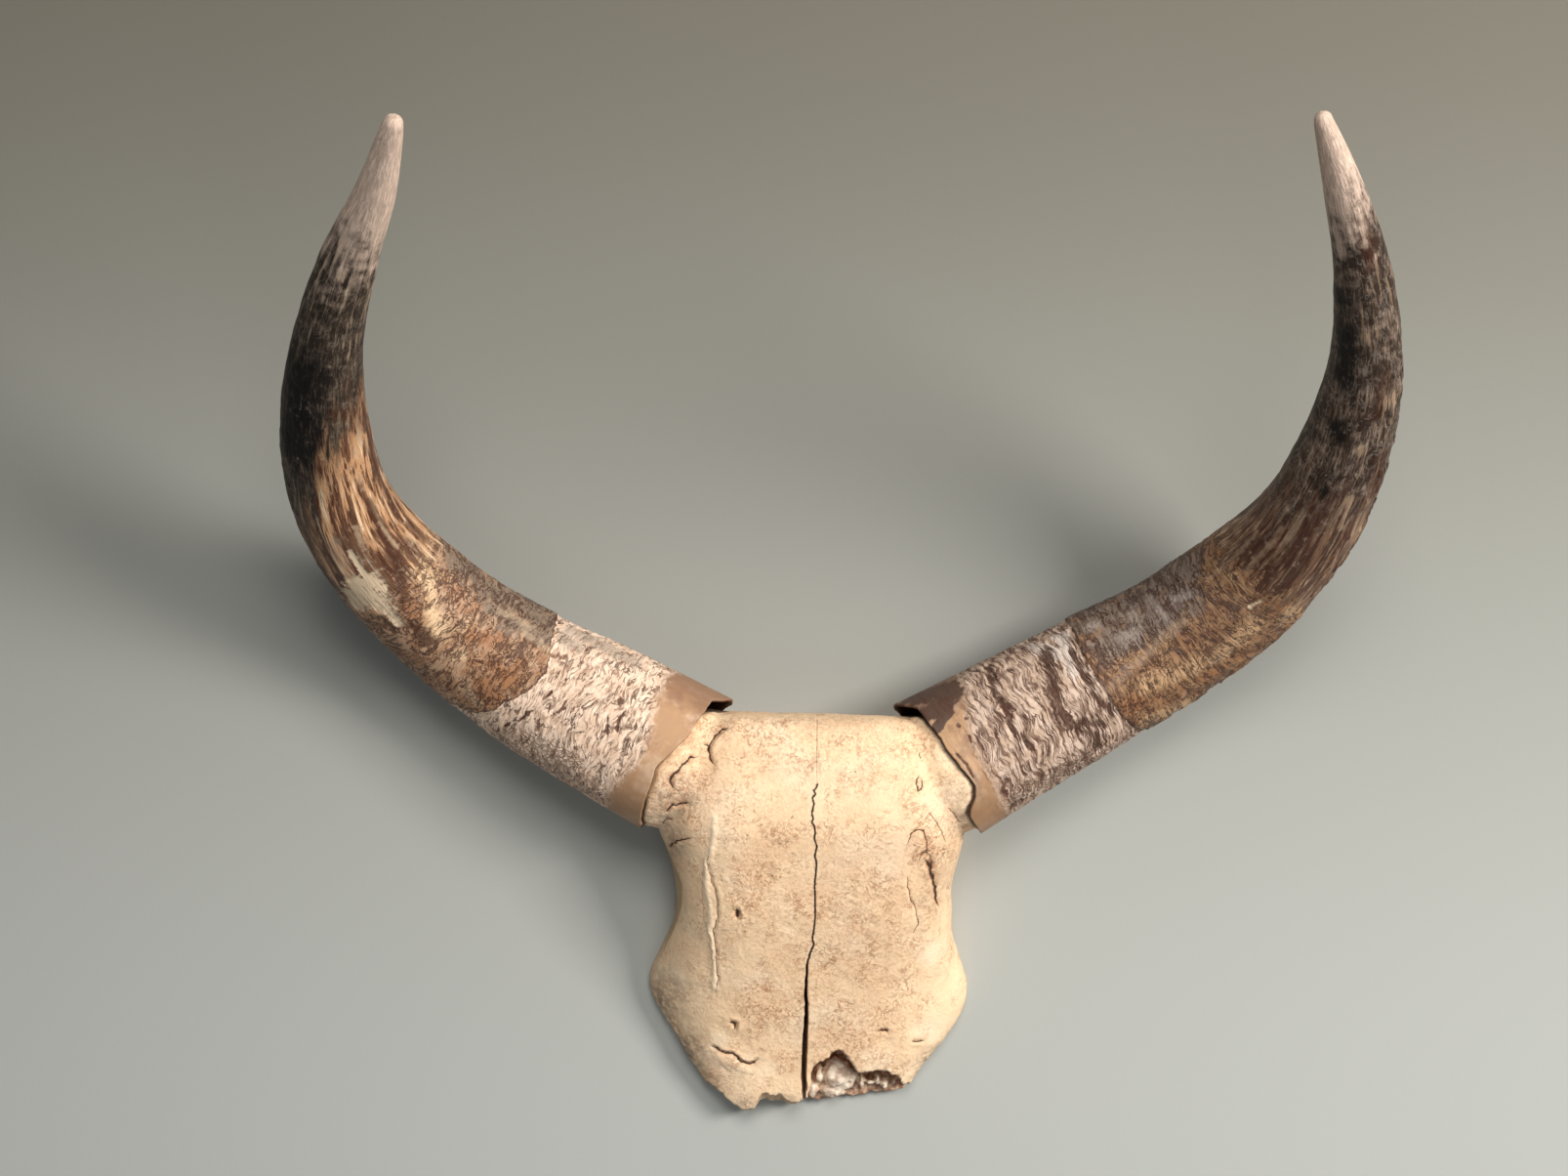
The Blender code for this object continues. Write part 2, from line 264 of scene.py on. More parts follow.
for lamp_name, lamp_values in LAMPS.items():
    lamp(lamp_name, *lamp_values)
world = bpy.data.worlds.new("studio")
world.use_nodes = True
sky = world.node_tree.nodes["Background"]
sky.inputs["Color"].default_value = SKY_COLOUR
sky.inputs["Strength"].default_value = SKY_STRENGTH
bpy.context.scene.world = world
bpy.context.scene.view_settings.view_transform = "Standard"
print("lamps:", len(bpy.data.lights))

# %% [markdown]
# ## Grain
# Bone and horn are nowhere even. One function gives every rough or wavy place its irregularity: fractal noise at
# a chosen size, read at each point, with a number that makes each use of it different.

# %% Grain and steps


def grain(points, size, seed, octaves=3):
    """Fractal noise of about -1 to 1 at each point, with blobs of about that size."""
    shift = Vector((seed * 7.31, seed * 3.17, seed * 5.53))
    return np.array([noise.fractal(Vector(p) / size + shift, 1.0, 2.0, octaves) for p in points.tolist()])


def rise(value, low, high):
    """0 below low, 1 above high, and smooth in between."""
    t = np.clip((value - low) / (high - low), 0, 1)
    return t * t * (3 - 2 * t)


def hill(value, middle, width):
    """1 at the middle, falling off to both sides."""
    return np.exp(-(((value - middle) / width) ** 2))


def way_off(x, y, path):
    """How far each point is from a line through the path's points, on which side (-1 or 1), and how far along."""
    best, side, along = np.full(len(x), 1e9), np.ones(len(x)), np.zeros(len(x))
    spans = [math.hypot(bx - ax, by - ay) for (ax, ay), (bx, by) in zip(path, path[1:])]
    done = 0.0
    for (ax, ay), (bx, by), span in zip(path, path[1:], spans):
        t = np.clip(((x - ax) * (bx - ax) + (y - ay) * (by - ay)) / span**2, 0, 1)
        off = np.hypot(x - ax - t * (bx - ax), y - ay - t * (by - ay))
        nearer = off < best
        best = np.where(nearer, off, best)
        side = np.where(nearer, np.sign((bx - ax) * (y - ay) - (by - ay) * (x - ax)), side)
        along = np.where(nearer, (done + t * span) / sum(spans), along)
        done += span
    return best, side, along


print("grain at the poll:", round(float(grain(np.array([[0.0, 0.0, 0.0]]), 0.01, 1)[0]), 3))

# %% [markdown]
# ## The line of a horn
# A horn is a cone bent along a curve in space. Twelve stations give the middle and the thickness; a smooth curve
# runs through them, and at every step it carries two directions: out, which starts toward the camera, and up,
# which starts toward the poll's side. Near the skull the horn is flatter from front to back than it is wide. A
# place on the horn is then a distance from the rim and an angle.

# %% Horn lines
HORNS = {  # x, y, z and radius in millimetres, from the rim of the sheath to the tip
    "left": (
        (-102, -35, 60, 58), (-159, -7, 53, 55.5), (-216, 22, 45.2, 51), (-268, 57, 51, 44.5),
        (-310, 96, 80, 40), (-336, 136, 124, 35.5), (-343, 180, 170, 31.5), (-337, 221, 218, 26),
        (-322, 259, 267, 21.5), (-301, 293, 317, 17.5), (-277.5, 323, 366, 12.5), (-256.5, 357, 421.5, 5.8),
    ),
    "right": (
        (95, -35, 60, 57), (151, -3, 53, 53.5), (207, 30, 44.8, 50.5), (262, 64, 50.5, 46),
        (308, 103, 77, 43), (338, 143, 121, 37), (352, 186, 168, 32), (354, 229, 217, 26.5),
        (344.5, 269, 267, 21.5), (326, 306, 318, 17), (302.5, 339, 367, 12.2), (274, 373.6, 421.5, 5.2),
    ),
}
RIM_DEPTH = 0.84  # front to back, as a share of the width
ROUND_FROM = 300  # from here on the horn is round


def smooth_line(stations, steps=40):
    """Points along the smooth curve through the stations, by Catmull and Rom's rule."""
    points = np.array(stations, float)
    before = np.vstack([2 * points[0] - points[1], points, 2 * points[-1] - points[-2]])
    t = np.linspace(0, 1, steps, endpoint=False)[:, None]
    line = []
    for p0, p1, p2, p3 in zip(before, before[1:], before[2:], before[3:]):
        bend = 2 * p0 - 5 * p1 + 4 * p2 - p3 + t * (3 * (p1 - p2) + p3 - p0)
        line.append(p1 + 0.5 * t * (p2 - p0 + t * bend))
    return np.vstack([*line, points[-1:]])


def depth_share(run):
    return RIM_DEPTH + (1 - RIM_DEPTH) * rise(run, 0, ROUND_FROM)


class HornLine:
    """The middle line of a horn, its thickness, and its directions out and up, all in millimetres."""

    def __init__(self, side):
        line = smooth_line(HORNS[side])
        self.run = np.r_[0, np.cumsum(np.linalg.norm(np.diff(line[:, :3], axis=0), axis=1))]
        self.length = self.run[-1]
        self.middle, self.radius = line[:, :3], line[:, 3]
        along = np.gradient(self.middle, axis=0)
        self.along = along / np.linalg.norm(along, axis=1)[:, None]
        out, outs = np.array([0.0, 0.0, 1.0]), []
        for direction in self.along:
            out = out - direction * (out @ direction)
            out = out / np.linalg.norm(out)
            outs.append(out)
        self.out = np.array(outs)
        turn = 1 if side == "left" else -1
        self.up = turn * np.cross(self.along, self.out)

    def read(self, values, run):
        """One of the lists above at those distances; before the rim, the line runs straight on."""
        if values.ndim == 1:
            return np.interp(run, self.run, values)
        found = np.stack([np.interp(run, self.run, values[:, k]) for k in range(3)], 1)
        if values is self.middle:
            found += np.minimum(run, 0)[:, None] * self.along[0]
        return found

    def points(self, run, angle, radius):
        """Places of the frame in metres, at those distances from the rim, angles and radii."""
        depth = (np.cos(angle) * depth_share(run))[:, None]
        ray = depth * self.read(self.out, run) + np.sin(angle)[:, None] * self.read(self.up, run)
        return np.array(ORIGIN) + (self.read(self.middle, run) + ray * radius[:, None]) * MM

    def seen_from_rim(self, points):
        """Distance from the rim, angle and radius of places near the rim, in millimetres."""
        spread = points - self.middle[0]
        run = spread @ self.along[0]
        deep, wide = spread @ self.out[0] / depth_share(run), spread @ self.up[0]
        return run, np.arctan2(wide, deep), np.maximum(np.hypot(deep, wide), 1e-6)


horn_lines = {side: HornLine(side) for side in HORNS}
print("horn lengths:", {side: round(line.length) for side, line in horn_lines.items()}, "mm")

# %% [markdown]
# ## Shapes for the bone
# A few small tools make all the rough shapes: a skin over rings, a flat outline pulled to a height, and an
# ellipsoid. Booleans add and cut them, and a voxel remesh turns the result into one even skin that can be smoothed
# like clay, which is how a bone without any sharp moulded edge is best made.

# %% Shape helpers


def as_object(name, bm):
    bmesh.ops.recalc_face_normals(bm, faces=bm.faces)
    mesh = bpy.data.meshes.new(name)
    bm.to_mesh(mesh)
    bm.free()
    obj = bpy.data.objects.new(name, mesh)
    bpy.context.scene.collection.objects.link(obj)
    return obj


def skin_over(name, rings):
    """A closed body through the rings: one capped circle, extruded ring by ring."""
    bm = bmesh.new()
    bmesh.ops.create_circle(bm, cap_ends=True, segments=len(rings[0]), radius=1)
    bm.faces.ensure_lookup_table()
    cap = bm.faces[0]
    for vert, point in zip(cap.verts, rings[0]):
        vert.co = point
    for ring in rings[1:]:
        cap = bmesh.ops.extrude_discrete_faces(bm, faces=[cap])["faces"][0]
        for vert, point in zip(cap.verts, ring):
            vert.co = point
    bmesh.ops.holes_fill(bm, edges=bm.edges)
    return as_object(name, bm)


def prism(name, outline, low, high):
    """A flat outline in millimetres, pulled from one height to the other."""
    return skin_over(name, [[place(x, y, z) for x, y in outline] for z in (low, high)])


def egg(name, centre, half_sizes):
    bm = bmesh.new()
    bmesh.ops.create_uvsphere(bm, u_segments=32, v_segments=16, radius=1)
    bmesh.ops.scale(bm, vec=Vector(half_sizes) * MM, verts=bm.verts)
    bmesh.ops.translate(bm, vec=place(*centre), verts=bm.verts)
    return as_object(name, bm)


def settle(obj):
    """Keeps what the modifiers make of the object, and drops them."""
    made = bpy.data.meshes.new_from_object(obj.evaluated_get(bpy.context.evaluated_depsgraph_get()))
    obj.modifiers.clear()
    obj.data = made


def combine(obj, operation, tools):
    """Adds or cuts each tool, all of them closed bodies, then throws the tools away."""
    for tool in tools:
        modifier = obj.modifiers.new(operation, "BOOLEAN")
        modifier.operation, modifier.solver, modifier.object = operation, "MANIFOLD", tool
    settle(obj)
    for tool in tools:
        bpy.data.objects.remove(tool)


def reskin(obj, voxel, smoothing=0):
    """One even skin over everything, smoothed that many times."""
    modifier = obj.modifiers.new("voxels", "REMESH")
    modifier.mode, modifier.voxel_size = "VOXEL", voxel * MM
    settle(obj)
    bm = bmesh.new()
    bm.from_mesh(obj.data)
    for _ in range(smoothing):
        bmesh.ops.smooth_vert(
            bm, verts=bm.verts, factor=0.5, use_axis_x=True, use_axis_y=True, use_axis_z=True
        )
    bm.to_mesh(obj.data)
    bm.free()


print("body helpers ready")

# %% [markdown]
# ## Corners as rows of numbers
# Relief is worked out for a whole mesh at once, so its corners are read into one array, moved there, and written
# back. A note is a number kept at every corner, which a finish can read by its name.

# %% Corner helpers


def corners(mesh):
    """The vertices as rows of numbers, in metres."""
    found = np.zeros(len(mesh.vertices) * 3, np.float32)
    mesh.vertices.foreach_get("co", found)
    return found.reshape(-1, 3).astype(float)


def facing(mesh):
    """The direction each vertex faces."""
    found = np.zeros(len(mesh.vertices) * 3, np.float32)
    mesh.vertex_normals.foreach_get("vector", found)
    return found.reshape(-1, 3).astype(float)


def move_corners(mesh, points):
    """Moves the vertices, and keeps them over the floor and inside the solids' box."""
    points = np.clip(points, np.array(cad_low), np.array(cad_high))
    mesh.vertices.foreach_set("co", points.astype(np.float32).ravel())
    mesh.update()


def note(mesh, name, values):
    """A named number at every vertex, for a finish to read."""
    mesh.attributes.new(name, "FLOAT", "POINT").data.foreach_set("value", values.astype(np.float32))


print("corner helpers ready")

# %% [markdown]
# ## The forehead
# Seen from the front the forehead is an hourglass: wide under the horns, pinched at the temples, widest over the
# eye sockets and narrowing to the nose. Each section across it is flat on top with rounded shoulders, so one
# formula with a few numbers a row describes them all, and the rows are smoothed into many.

# %% Forehead sections
FOREHEAD = (  # y, half width left and right, height of the middle and of the edge, flatness, steepness
    (-6, 76, 74, 61, 12, 5.0, 2.0), (-8, 84, 81, 81, 20, 5.5, 2.0), (-14, 94, 90, 96, 30, 6.0, 2.0),
    (-32, 104, 99, 106, 38, 6.5, 2.0), (-55, 111, 107, 109, 40, 6.5, 2.0), (-78, 114, 111, 107, 36, 6.5, 2.0),
    (-92, 114, 113, 103, 30, 6.0, 2.0), (-106, 108, 110, 98, 27, 6.0, 2.0), (-125, 103, 106.5, 91, 24, 6.0, 2.0),
    (-145, 101, 107.5, 83, 20, 5.5, 2.0), (-165, 104, 109, 74, 16, 4.5, 1.9), (-185, 113, 116, 65, 11, 3.6, 1.6),
    (-206, 121, 122.5, 56, 8, 3.0, 1.4), (-226, 115, 119, 48, 8, 3.0, 1.4), (-246, 101, 107, 40, 8, 3.4, 1.6),
    (-266, 89, 91, 33, 8, 4.0, 1.9), (-286, 75, 79, 28, 8, 4.0, 2.0), (-310, 64, 68, 23, 8, 4.0, 2.0),
    (-325, 57, 60, 20, 8, 4.0, 2.0),
)
POLL_LEAN = 0.13  # the back of the poll hangs over by this share of its height
POLL_DEPTH = 70
FRONT_POINTS = 61
ROWS_BETWEEN = 5
BELOW = -14  # the clay reaches this far under the saw cut, so that the cut stays crisp


def section(y, left, right, middle, edge, flat, steep):
    """One section: over the front from left to right, then back underneath."""
    lean = POLL_LEAN * max(0.0, 1 + y / POLL_DEPTH)
    points = []
    for i in range(FRONT_POINTS):
        share = -math.cos(math.pi * i / (FRONT_POINTS - 1))
        width = left if share < 0 else right
        height = edge + (middle - edge) * max(0.0, 1 - abs(share) ** flat) ** (1 / steep)
        points.append(place(share * width, y + lean * height, height))
    return [*points, place(right, y, BELOW), place(-left, y, BELOW)]


skull = skin_over("skull", [section(*row) for row in smooth_line(FOREHEAD, ROWS_BETWEEN)])
print("forehead:", len(skull.data.vertices), "corners")

# %% [markdown]
# ## Roots of the horns and hollows of the back
# The bony core of each horn grows out of the forehead, so its root swells up toward the sheath. How far the bone
# stays under the sheath's own surface differs round the rim: flush in front on the left, lower toward the poll.
# From behind, the sawn bone shows the roof of the braincase and of both eye sockets. Everything is joined here and
# smoothed once, coarsely, which gives the soft hollows and shoulders of real bone.

# %% Roots and hollows
ROOT = ((-66, 0.26), (-50, 0.56), (-35, 0.72), (-20, 0.86), (-8, 0.96), (0, 1.0), (13.5, 0.99))  # run, share
ROOT_SIDES = 72
BONE_UNDER_RIM = {  # angle, and millimetres under the sheath's outer surface
    "left": ((-180, 4), (-90, 3), (-40, 2), (30, 2), (60, 5), (90, 9), (120, 7), (180, 4)),
    "right": ((-180, 4), (-90, 4.5), (-40, 4), (20, 3.5), (50, 5.5), (90, 9), (130, 6), (180, 4)),
}
BEHIND_POLL = 1
BRAINCASE = ((0, -95, -8), (46, 56, 64))
ORBIT_PLACE = (82, -211, -6)
ORBIT_SIZE = (30, 38, 30)
CLAY_VOXEL = 2.4
CLAY_SMOOTHING = 7
FAR = 500


def around(table, angle):
    """A table of angles and values, read at each angle."""
    places, values = zip(*table)
    return np.interp(np.degrees(angle), places, values)


def root(side):
    """The root of the core, a cone whose wide end stands inside the sheath."""
    line = horn_lines[side]
    angles = np.linspace(-math.pi, math.pi, ROOT_SIDES, endpoint=False)
    full = line.radius[0] - around(BONE_UNDER_RIM[side], angles)
    rings = []
    for run, share in ROOT:
        rings.append([Vector(p) for p in line.points(np.full(ROOT_SIDES, float(run)), angles, full * share)])
    return skin_over("root_" + side, rings)


roots = [root("left"), root("right")]
behind = [(-FAR, BEHIND_POLL), (FAR, BEHIND_POLL), (FAR, FAR), (-FAR, FAR)]
for piece in roots:
    combine(piece, "DIFFERENCE", [prism("behind_poll", behind, -FAR, FAR)])
combine(skull, "UNION", roots)
combine(skull, "DIFFERENCE", [
    egg("braincase", *BRAINCASE),
    *(egg("orbit", (side * ORBIT_PLACE[0], *ORBIT_PLACE[1:]), ORBIT_SIZE) for side in (-1, 1)),
])
reskin(skull, CLAY_VOXEL, CLAY_SMOOTHING)
print("clay:", len(skull.data.vertices), "corners")

# %% [markdown]
# ## The broken nose end
# The nose bones have snapped off, and on the right the front wall has broken further back, so the air chamber
# behind it lies open. Broken edges must be crisp, so these cuts come after the smoothing, and a second, finer
# remesh keeps them to about a millimetre.

# %% Break, chambers and saw cut
NOSE_BREAK = (  # the end of the bone at the saw cut, from right to left
    (79, -281), (75, -287), (66, -287.5), (57, -290), (50, -289.5), (45, -292), (34, -293), (27, -292.5),
    (20, -294.5), (10, -296), (4, -294.5), (-1, -295), (-4, -297.5), (-7, -299), (-12, -298), (-18, -295.5),
    (-25, -297), (-32, -295.5), (-36, -300), (-38, -304), (-46, -305.2), (-52, -301), (-56, -298),
    (-66, -290), (-75, -284), (-78, -280),
)
TOP_BREAK = (  # the end of the front wall, left of the seam
    (3, -288), (0, -289), (-2.4, -290.2), (-4, -294.3), (-8.8, -296.3), (-13, -294), (-15.6, -291.9),
    (-19, -288.5), (-24.5, -291), (-28, -289.5), (-31.1, -288.9), (-34.4, -292.6), (-37.5, -301),
    (-46.3, -302.6), (-55.3, -298), (-65.6, -288.2), (-74.9, -283.6), (-80, -280),
)
TOP_BREAK_LOW = 13
WALL_BREAK = (  # where the front wall right of the seam has broken away
    (2.2, -289), (3.9, -278.5), (4.1, -270.3), (7.8, -263.1), (13.2, -260.6), (17.5, -259.3), (19.5, -253.3),
    (25, -252), (30.6, -255.4), (33, -260.1), (36.5, -265.9), (40, -271.7), (43.3, -269.8), (52.1, -269.3),
    (59.8, -268.2), (64.4, -269.6), (66.7, -272.5), (71.3, -274.3), (73.2, -279.9), (86, -283),
)
BACK_WALL = 8
CHAMBERS = (  # centre and half sizes
    ((40, -263, 17), (34, 14, 11)),
    ((23, -250, 21), (13, 10, 12)),
    ((9, -272, 17), (6, 10, 11)),
    ((48, -268, 19), (7, 7, 9)),
    ((67, -273, 15), (9, 8, 8)),
)
PLATES = (  # thin walls that bulge forward inside the chamber
    ((25, -276, 5), (12, 14, 17)),
    ((35, -277, 4), (6, 10, 15)),
    ((21, -288, 3), (11, 7, 14)),
    ((7, -287, 2), (5, 8, 12)),
    ((11, -276, 3), (1.8, 9, 17)),
    ((43, -279, 3), (1.8, 8, 17)),
    ((49, -280, 3), (5, 1.9, 17)),
    ((55, -276, 3), (1.8, 7, 17)),
    ((61, -282, 3), (4, 4, 15)),
    ((68, -280, 3), (1.8, 5, 14)),
)
FINE_VOXEL = 1.2


def all_beyond(outline, end=-FAR):
    """The outline closed far away on the nose side."""
    return [*outline, (outline[-1][0], end), (outline[0][0], end)]


nose_side = [(FAR, NOSE_BREAK[0][1]), *NOSE_BREAK, (-FAR, NOSE_BREAK[-1][1]), (-FAR, -FAR), (FAR, -FAR)]
everywhere = [(-FAR, -FAR), (FAR, -FAR), (FAR, FAR), (-FAR, FAR)]
combine(skull, "DIFFERENCE", [
    prism("wall_break", all_beyond(WALL_BREAK), BACK_WALL, FAR),
    prism("top_break", all_beyond(TOP_BREAK), TOP_BREAK_LOW, FAR),
    *(egg("chamber", *chamber) for chamber in CHAMBERS),
])
combine(skull, "UNION", [egg("plate", *plate) for plate in PLATES])
combine(skull, "DIFFERENCE", [
    prism("nose_break", nose_side, -FAR, FAR),
    prism("saw_cut", everywhere, -FAR, 0),
])
reskin(skull, FINE_VOXEL, 1)
print("fine skin:", len(skull.data.vertices), "corners")

# %% [markdown]
# ## Marks on the bone
# The forehead carries the marks of growth and of weather: fissures beside the horns, a raised band beside the
# groove of a vein, small holes, a wavy crack. Each is a line or a spot with a width and a depth. The skin is
# pressed in or raised along them, and each vertex also keeps its distance from the nearest line with a sign for
# the side, from which the finish draws that line sharper than the mesh could.

# %% Marks
FISSURES = (  # half width, depth, path in x and y
    (0.9, 1.3, (-63.7, -9.3), (-68.7, -11.2), (-73.5, -16.3), (-76.8, -22), (-77.8, -26.5), (-76.5, -30.9),
     (-72.4, -35.5)),
    (0.5, 0.7, (-80.7, -21.9), (-75.8, -23.2)),
    (1.0, 1.6, (-85, -29.6), (-91.1, -31.7), (-95.4, -35.8), (-99.7, -41.6), (-103.8, -45.6), (-104.6, -48.7),
     (-102.5, -52.2), (-100, -54.4)),
    (0.9, 1.3, (-109, -72.1), (-104.2, -67.8), (-97.4, -64.5), (-89.7, -64.1)),
    (0.6, 0.8, (-110, -80.7), (-107, -77), (-102.3, -76.8)),
    (0.9, 1.2, (-105.8, -100.6), (-101.5, -95.4), (-94.7, -92), (-87.5, -89.2)),
    (0.45, 0.8, (-75.1, -95.6), (-76, -106.8), (-74.1, -117.8), (-70.3, -128.7), (-68, -139.9), (-68.4, -151.3),
     (-70.9, -160.8), (-69, -172.2), (-68.4, -186.2), (-67.1, -200.3), (-69.8, -212.3)),
    (0.2, 0.3, (-78.3, -98), (-79.1, -120.5), (-80, -134.2), (-78.7, -147.8), (-76.4, -159), (-74.1, -165.8),
     (-72.4, -179.5), (-70.9, -195.9)),
    (1.5, 4.0, (-53.9, -143.1), (-53.8, -148.6)),
    (1.1, 1.8, (-57.7, -232.6), (-53.3, -233.5), (-54.4, -237.6)),
    (0.8, 1.6, (-71.3, -252.7), (-66.2, -255.1), (-60.6, -257.7), (-55, -258.4), (-51.7, -260.6), (-48.3, -264),
     (-42.8, -265.6), (-38.4, -264.2), (-35.2, -261)),
    (1.2, 2.0, (54, -236.6), (58.4, -235.7), (60.7, -238.1)),
    (0.8, 1.2, (80, -244.6), (87.4, -245.3)),
    (0.7, 0.9, (74.2, -39.3), (72.6, -44.4), (73.9, -49.8), (76.5, -48.6), (76.8, -42.4)),
    (0.7, 1.0, (67.5, -88), (70.4, -81.4), (74.5, -78.1), (78.9, -79.2), (81.7, -84.7), (83.1, -98)),
    (0.6, 0.8, (76.7, -102.3), (77.6, -97.4), (80.7, -94.8), (84.8, -97.6), (87, -104.8)),
    (1.7, 2.2, (82.1, -100.2), (85.7, -107), (87.9, -113.9), (89.9, -120.8), (91.7, -130.2), (93.5, -136.5)),
    (0.5, 0.7, (68.7, -113.3), (71.6, -129), (76.4, -138.2), (78.8, -149.7), (76.3, -156.1), (73.1, -157.4)),
    (0.5, 0.7, (81.7, -65.4), (88.4, -72), (93.2, -80.8), (96, -88.7)),
    (0.5, 0.7, (96.2, -63), (102.5, -67.1), (105.2, -74)),
    (0.5, 0.5, (-48.8, -84.7), (-47.6, -86)),
    (0.5, 0.5, (-16.5, -72), (-15.5, -69.8)),
    (0.5, 0.5, (-65.1, -119.4), (-64.3, -121)),
    (0.5, 0.5, (27.9, -37.1), (29, -38)),
    (0.6, 0.6, (-40.3, -274.1), (-39.2, -275)),
    (0.5, 0.6, (74.8, -22.5), (75.8, -27.1)),
)
SWELLS = (  # half width, height, path
    (2.2, 1.0, (-71.3, -73.6), (-71.7, -84.4), (-72.5, -95), (-77.3, -108), (-76.8, -120), (-75.6, -131),
     (-73.6, -141), (-73.4, -151), (-73.6, -160), (-71.6, -169), (-70.6, -183), (-69.3, -196), (-69.2, -206)),
    (5.0, 1.0, (76, -86), (77, -92)),
    (4.5, 1.0, (81, -112), (83, -125), (84, -139), (80, -152)),
    (4.0, 0.8, (89, -64), (97, -72), (101, -82)),
    (7.0, 1.2, (-86, -42), (-92, -54)),
    (6.0, 1.0, (-98, -84), (-92, -78)),
    (3.0, 0.7, (-66, -262), (-52, -268), (-44, -271)),
    (6.0, 0.9, (-58, -10), (-40, -8)),
)
HOLLOWS = (  # half width, depth, path
    (9.0, 1.2, (-88, -24), (-78, -38)),
    (7.0, 0.9, (-60, -242), (-50, -246)),
    (6.0, 0.9, (58, -243), (62, -247)),
    (8.0, 1.2, (88, -56), (86, -44)),
)
ROUGH_PATCH = ((-112, -222), (-100, -243), (-88, -258))
print("marks:", len(FISSURES), "lines,", len(SWELLS), "swells,", len(HOLLOWS), "hollows")

# %% [markdown]
# ## Pressing the marks in
# The skin is fine enough to carry marks about a millimetre wide. Each corner moves in or out along the direction
# it faces, by an amount read from its distance to every path. Noise lets the paths stray, so that no fissure looks
# ruled, and adds broad swells, knobs round the horns and the ragged grain of broken walls.

# %% Press the marks in
STRAY = 1.3  # how far the marks wander off their paths
LIP_HEIGHT = 0.35  # of the raised lip beside a fissure, as a share of its depth
NO_LINE = 20.0  # the distance that stands for no line at all
NEAR_LINE = 2.6
WALL_REACH = (2, 78)  # the broken front wall, from its left end to its right
WALL_HEIGHT = 33  # of that wall where y is WALL_AT; it sinks from there toward the nose
WALL_AT = -266
WALL_SLOPE = 0.33


def fissured(points):
    """How far the marks move each place in or out, and its nearest line: distance, nearness and width."""
    metres = points * MM
    x = points[:, 0] + STRAY * grain(metres, 0.006, 11, 4)
    y = points[:, 1] + STRAY * grain(metres, 0.006, 12, 4)
    push, wide = np.zeros(len(x)), np.zeros(len(x))
    best, line = np.full(len(x), 1e9), np.full(len(x), NO_LINE)
    for width, depth, *path in FISSURES:
        off, side, along = way_off(x, y, path)
        taper = np.clip(2.2 * np.sin(np.pi * along) + 0.25, 0.0, 1.0)
        lit = side * np.sign(path[0][0]) * np.sign(path[-1][1] - path[0][1] - 1e-3)
        push -= depth * taper * hill(off, 0, width + 0.5)
        push += LIP_HEIGHT * depth * taper * hill(off, width + 1.8, 1.6) * (lit > 0)
        nearer = off / width < best
        best = np.where(nearer, off / width, best)
        line, wide = np.where(nearer, off * side, line), np.where(nearer, width * taper, wide)
    for sign, marks in ((1, SWELLS), (-1, HOLLOWS)):
        for width, height, *path in marks:
            push += sign * height * hill(way_off(x, y, path)[0], 0, width)
    return push, line, hill(line, 0, NEAR_LINE), wide


def horn_zone(points):
    """1 on the rough growth round both horns' roots, falling to 0 over the forehead."""
    near = np.zeros(len(points))
    for line in horn_lines.values():
        run, _, _ = line.seen_from_rim(points)
        near = np.maximum(near, rise(run, -34, -6))
    return near


def inside_nose(points):
    """1 on all that lies below the broken front wall of the nose end."""
    x, y, z = points.T
    wall_x, wall_y = zip(*WALL_BREAK)
    left, right = WALL_REACH
    open_here = rise(np.interp(x, wall_x, wall_y) + 1.5 - y, 0, 1.2) * rise(x, left, left + 1)
    under_wall = rise(WALL_HEIGHT + WALL_SLOPE * (y - WALL_AT) - z, 2.5, 4.5)
    return open_here * rise(right - x, 0, 4) * under_wall * rise(z, 3, 6)


def mark_bone(mesh):
    """Presses the marks into the skin."""
    metres = corners(mesh)
    points, out = (metres - np.array(ORIGIN)) / MM, facing(mesh)
    front = rise(out[:, 2], 0.1, 0.5)
    push, _, _, _ = fissured(points)
    near_horn = horn_zone(points)
    swell = 0.7 * grain(metres, 0.045, 1) + 0.3 * grain(metres, 0.014, 2)
    knobs = near_horn * (0.7 * grain(metres, 0.011, 3) + 0.3 * grain(metres, 0.0045, 4))
    broken = rise(-out[:, 1], 0.3, 0.8) * rise(-points[:, 1], 240, 262) * rise(points[:, 2], 0.5, 3)
    broken *= 1.4 * grain(metres, 0.004, 5)
    broken += 2.4 * grain(metres, 0.007, 9) * inside_nose(points) * rise(points[:, 2], 6, 10)
    rough = 0.9 * hill(way_off(points[:, 0], points[:, 1], ROUGH_PATCH)[0], 0, 8) * grain(metres, 0.004, 6)
    above_floor = rise(points[:, 2], 0.4, 6)
    push = above_floor * (front * (push + rough) + swell + knobs + 0.14 * grain(metres, 0.003, 7)) + broken
    metres += out * push[:, None] * MM
    move_corners(mesh, metres)


mark_bone(skull.data)
print("highest place of the marked skull:", round(float(corners(skull.data)[:, 2].max()), 4), "m")

# %% [markdown]
# ## Room for the sheaths
# Each horn sheath is a hollow cone that slips over its bony core. Its rim is torn, so it reaches further at some
# angles than at others. The bone must stay inside it, so every corner of the bone that lies under a rim is drawn
# in to the sheath's own hollow, with a little air left between them.

